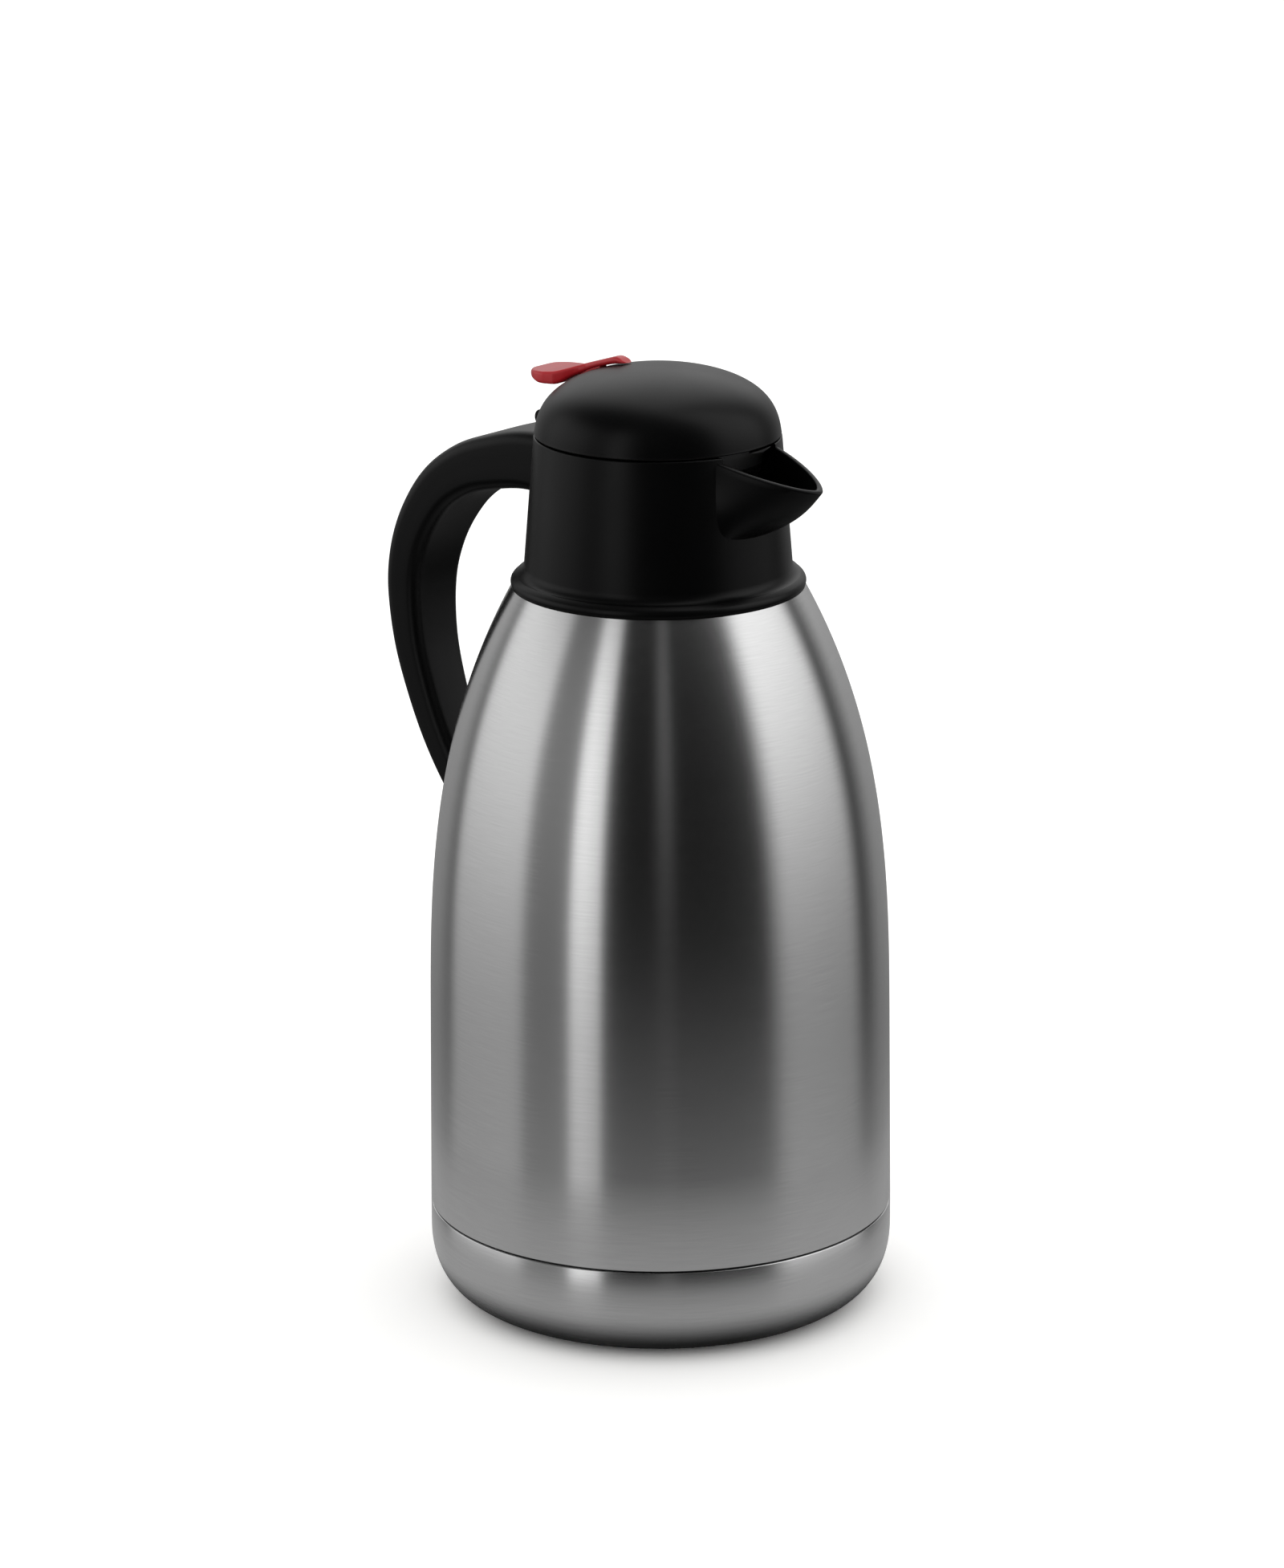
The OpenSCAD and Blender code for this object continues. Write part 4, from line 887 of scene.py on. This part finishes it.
# %% [markdown]
# ## Pieces that keep their CAD mesh
# The flask, the plug, the valve and the fasteners are plain turned or pressed
# shapes. Their CAD meshes are fine enough for the little that shows of them
# once the lid is open, so they only get their finishes here.

# %% Finishes of the inner pieces
FINISH = {
    plain_steel: ["inner_flask", "flask_bottom", "shell_bottom", "handle_bracket"],
    body_steel: ["outer_shell", "base_cap"],
    seal_metal: ["vacuum_seal", "getter"],
    black_plastic: ["pour_collar", "handle", "lid_dome"],
    inner_plastic: ["lid_deck", "plug_cup"],
    red_plastic: ["thumb_lever"],
    silicone: ["neck_gasket", "plug_seal", "valve_disc"],
    fastener_steel: ["collar_screws", "handle_screw", "hinge_pin", "lid_screws", "lever_pin",
                     "valve_stem", "valve_nut", "stem_clip", "valve_spring"],
}
for finish, names in FINISH.items():
    for name in names:
        nodes[name].data.materials.clear()
        nodes[name].data.materials.append(finish)
print("finished:", sum(len(n) for n in FINISH.values()), "of", len(nodes))

# %% [markdown]
# ## Floor
# The jug stands on white paper. To the camera the paper is white, with the
# jug's soft contact shadow on it. A brighter lamp would make the paper as white,
# but it would change the jug too, so the paper's colour is raised for the camera
# alone. In the steel's reflection the paper is a painted glow, not lit paper: a
# painted shadow darkens it near the base, then it is light, and it fades out
# into the dark of the room.

# %% Floor
FLOOR_HALF_WIDTH, FLOOR_GAP = 6.0, 0.0004      # metres; the gap keeps it off the base's plane
floor_mesh = bpy.data.meshes.new("floor")
shape = bmesh.new()
bmesh.ops.create_grid(shape, x_segments=1, y_segments=1, size=FLOOR_HALF_WIDTH)
shape.to_mesh(floor_mesh)
shape.free()
floor = bpy.data.objects.new("floor", floor_mesh)
floor.location.z = -FLOOR_GAP
bpy.context.scene.collection.objects.link(floor)

paper = bpy.data.materials.new("paper")
paper.use_nodes = True
tree = paper.node_tree
tree.nodes.remove(tree.nodes["Principled BSDF"])
path = add(tree, "ShaderNodeLightPath").outputs
shade = add(tree, "ShaderNodeMix", "whiter paper to the camera", data_type="RGBA")
join(tree, path["Is Camera Ray"], shade.inputs["Factor"])
shade.inputs[6].default_value = (0.80, 0.795, 0.785, 1)
shade.inputs[7].default_value = (1.35, 1.345, 1.33, 1)
seen = add(tree, "ShaderNodeBsdfDiffuse")
join(tree, shade.outputs[2], seen.inputs["Color"])
where = add(tree, "ShaderNodeTexCoord").outputs["Object"]
away = add(tree, "ShaderNodeVectorMath", operation="LENGTH")
join(tree, where, away.inputs[0])
# Seen only in reflections: the paper as a painted glow (an emission), which grows dimmer away
# from the jug.
painted_paper_glow = add(tree, "ShaderNodeEmission", "the paper as the steel mirrors it")
# Painted shadow: the glow drops to 3 percent in a ring round the base's foot, from 64 to 88 mm
# off the axis.
painted_contact_shadow = ramp_between(tree, away.outputs["Value"], 0.064, 0.088, 0.03, 1.0)
join(tree, maths(tree, "MULTIPLY", painted_contact_shadow,
                 ramp_between(tree, away.outputs["Value"], 0.06, 0.40, 0.45, 0.10)),
     painted_paper_glow.inputs["Strength"])
beyond = add(tree, "ShaderNodeBsdfTransparent", label="the studio beyond the paper")
ending = add(tree, "ShaderNodeMixShader", "where the mirrored paper ends")
join(tree, ramp_between(tree, away.outputs["Value"], 0.12, 0.45), ending.inputs["Fac"])
join(tree, painted_paper_glow.outputs[0], ending.inputs[1])
join(tree, beyond.outputs[0], ending.inputs[2])
choice = add(tree, "ShaderNodeMixShader")
join(tree, path["Is Glossy Ray"], choice.inputs["Fac"])
join(tree, seen.outputs[0], choice.inputs[1])
join(tree, ending.outputs[0], choice.inputs[2])
join(tree, choice.outputs[0], tree.nodes["Material Output"].inputs["Surface"])
floor_mesh.materials.append(paper)
print("floor: 12 m square, just under the base")

# %% [markdown]
# ## Studio light
# The steel shows the studio as upright bands: a broad softbox on the left, a
# narrow strip light beside the camera, the dark room behind the camera, and a
# broad softbox on the right. Real panels would do, but they would stand in the
# way of other views, so the world holds them, far away. Each panel is one node
# group with its bearing, half width, soft edge and level.

# %% Softbox group
TOP_FADE = math.radians(25)             # how far below its top a panel begins to fade
softbox, given, made = new_group(
    "softbox",
    [("Bearing", 0.0), ("Half width", 0.3), ("Soft edge", 0.1), ("Low", 0.0), ("High", 0.3),
     ("Top", 2.0), ("Level", 1.0)],
    ["Light"])
towards = add(softbox, "ShaderNodeTexCoord").outputs["Generated"]
parts = add(softbox, "ShaderNodeSeparateXYZ")
join(softbox, towards, parts.inputs[0])
bearing = maths(softbox, "ARCTAN2", parts.outputs["Y"], parts.outputs["X"])
offset = maths(softbox, "SUBTRACT", bearing, given["Bearing"])
offset = maths(softbox, "WRAP", offset, math.pi, -math.pi)
offset = maths(softbox, "ABSOLUTE", offset)
inner = maths(softbox, "SUBTRACT", given["Half width"], given["Soft edge"])
outer = maths(softbox, "ADD", given["Half width"], given["Soft edge"])
side = ramp_between(softbox, offset, inner, outer, 1.0, 0.0)
height = maths(softbox, "ARCSINE", parts.outputs["Z"])
rise = ramp_between(softbox, height, given["Low"], given["High"])
fade_from = maths(softbox, "SUBTRACT", given["Top"], TOP_FADE)
fall = ramp_between(softbox, height, fade_from, given["Top"], 1.0, 0.0)
upright_part = maths(softbox, "MULTIPLY", rise, fall)
shape_of_panel = maths(softbox, "MULTIPLY", side, upright_part)
join(softbox, maths(softbox, "MULTIPLY", shape_of_panel, given["Level"]), made["Light"])
print("group:", softbox.name)

# %% [markdown]
# ## World
# To the camera the world is plain white, and on diffuse surfaces it is an even
# light. Only mirror reflections see the panels, which keeps the black pieces
# black and the steel banded.

# %% World
CAMERA_BEARING = math.radians(-50)      # from the jug's axis towards the camera
PANELS = [
    # name, then in degrees its bearing from the camera (to the right is positive),
    # half width, soft edge, and where it begins, is full and ends; then its level
    ("left softbox", -98, 27, 5, -38, 15, 46, 1.08),
    ("dim wall beside it", -53, 16, 3, -45, 10, 50, 0.28),
    ("strip light", -37.5, 8, 1.5, -36, 0, 55, 1.27),
    ("camera side sliver", 3, 4, 3, -20, 30, 60, 0.16),
    ("right softbox", 88, 28, 8, -34, 36, 120, 1.52),
    ("back wall", 180, 48, 14, -50, 40, 120, 0.72),
    ("back window", 180, 30, 10, 4, 26, 120, 0.70),
    ("ceiling", 0, 200, 1, 34, 95, 120, 0.16),
]
ROOM_LEVEL = 0.012      # the dark room between the panels
EVEN_LEVEL = 0.95       # what diffuse surfaces see on every side
studio = bpy.data.worlds.new("studio")
bpy.context.scene.world = studio
studio.use_nodes = True
tree = studio.node_tree
background = tree.nodes["Background"]
total = None
for label, bearing, half, soft, low, high, top, level in PANELS:
    panel = use(tree, softbox,
                Bearing=CAMERA_BEARING + math.radians(bearing),
                Half_width=math.radians(half), Soft_edge=math.radians(soft),
                Low=math.radians(low), High=math.radians(high), Top=math.radians(top),
                Level=level)["Light"]
    total = panel if total is None else maths(tree, "ADD", total, panel)
total = maths(tree, "ADD", total, ROOM_LEVEL)
path = add(tree, "ShaderNodeLightPath").outputs
direct = maths(tree, "MAXIMUM", path["Is Camera Ray"], path["Is Transmission Ray"])
chosen = add(tree, "ShaderNodeMix", "panels in mirror reflections", data_type="FLOAT")
join(tree, path["Is Glossy Ray"], chosen.inputs["Factor"])
chosen.inputs["A"].default_value = EVEN_LEVEL
join(tree, total, chosen.inputs["B"])
strength = add(tree, "ShaderNodeMix", "white to the camera", data_type="FLOAT")
join(tree, direct, strength.inputs["Factor"])
join(tree, chosen.outputs[0], strength.inputs["A"])
strength.inputs["B"].default_value = 1.0
join(tree, strength.outputs[0], background.inputs["Color"])
background.inputs["Strength"].default_value = 1.0
studio.cycles.sampling_method = "NONE"
print("panels:", [p[0] for p in PANELS])
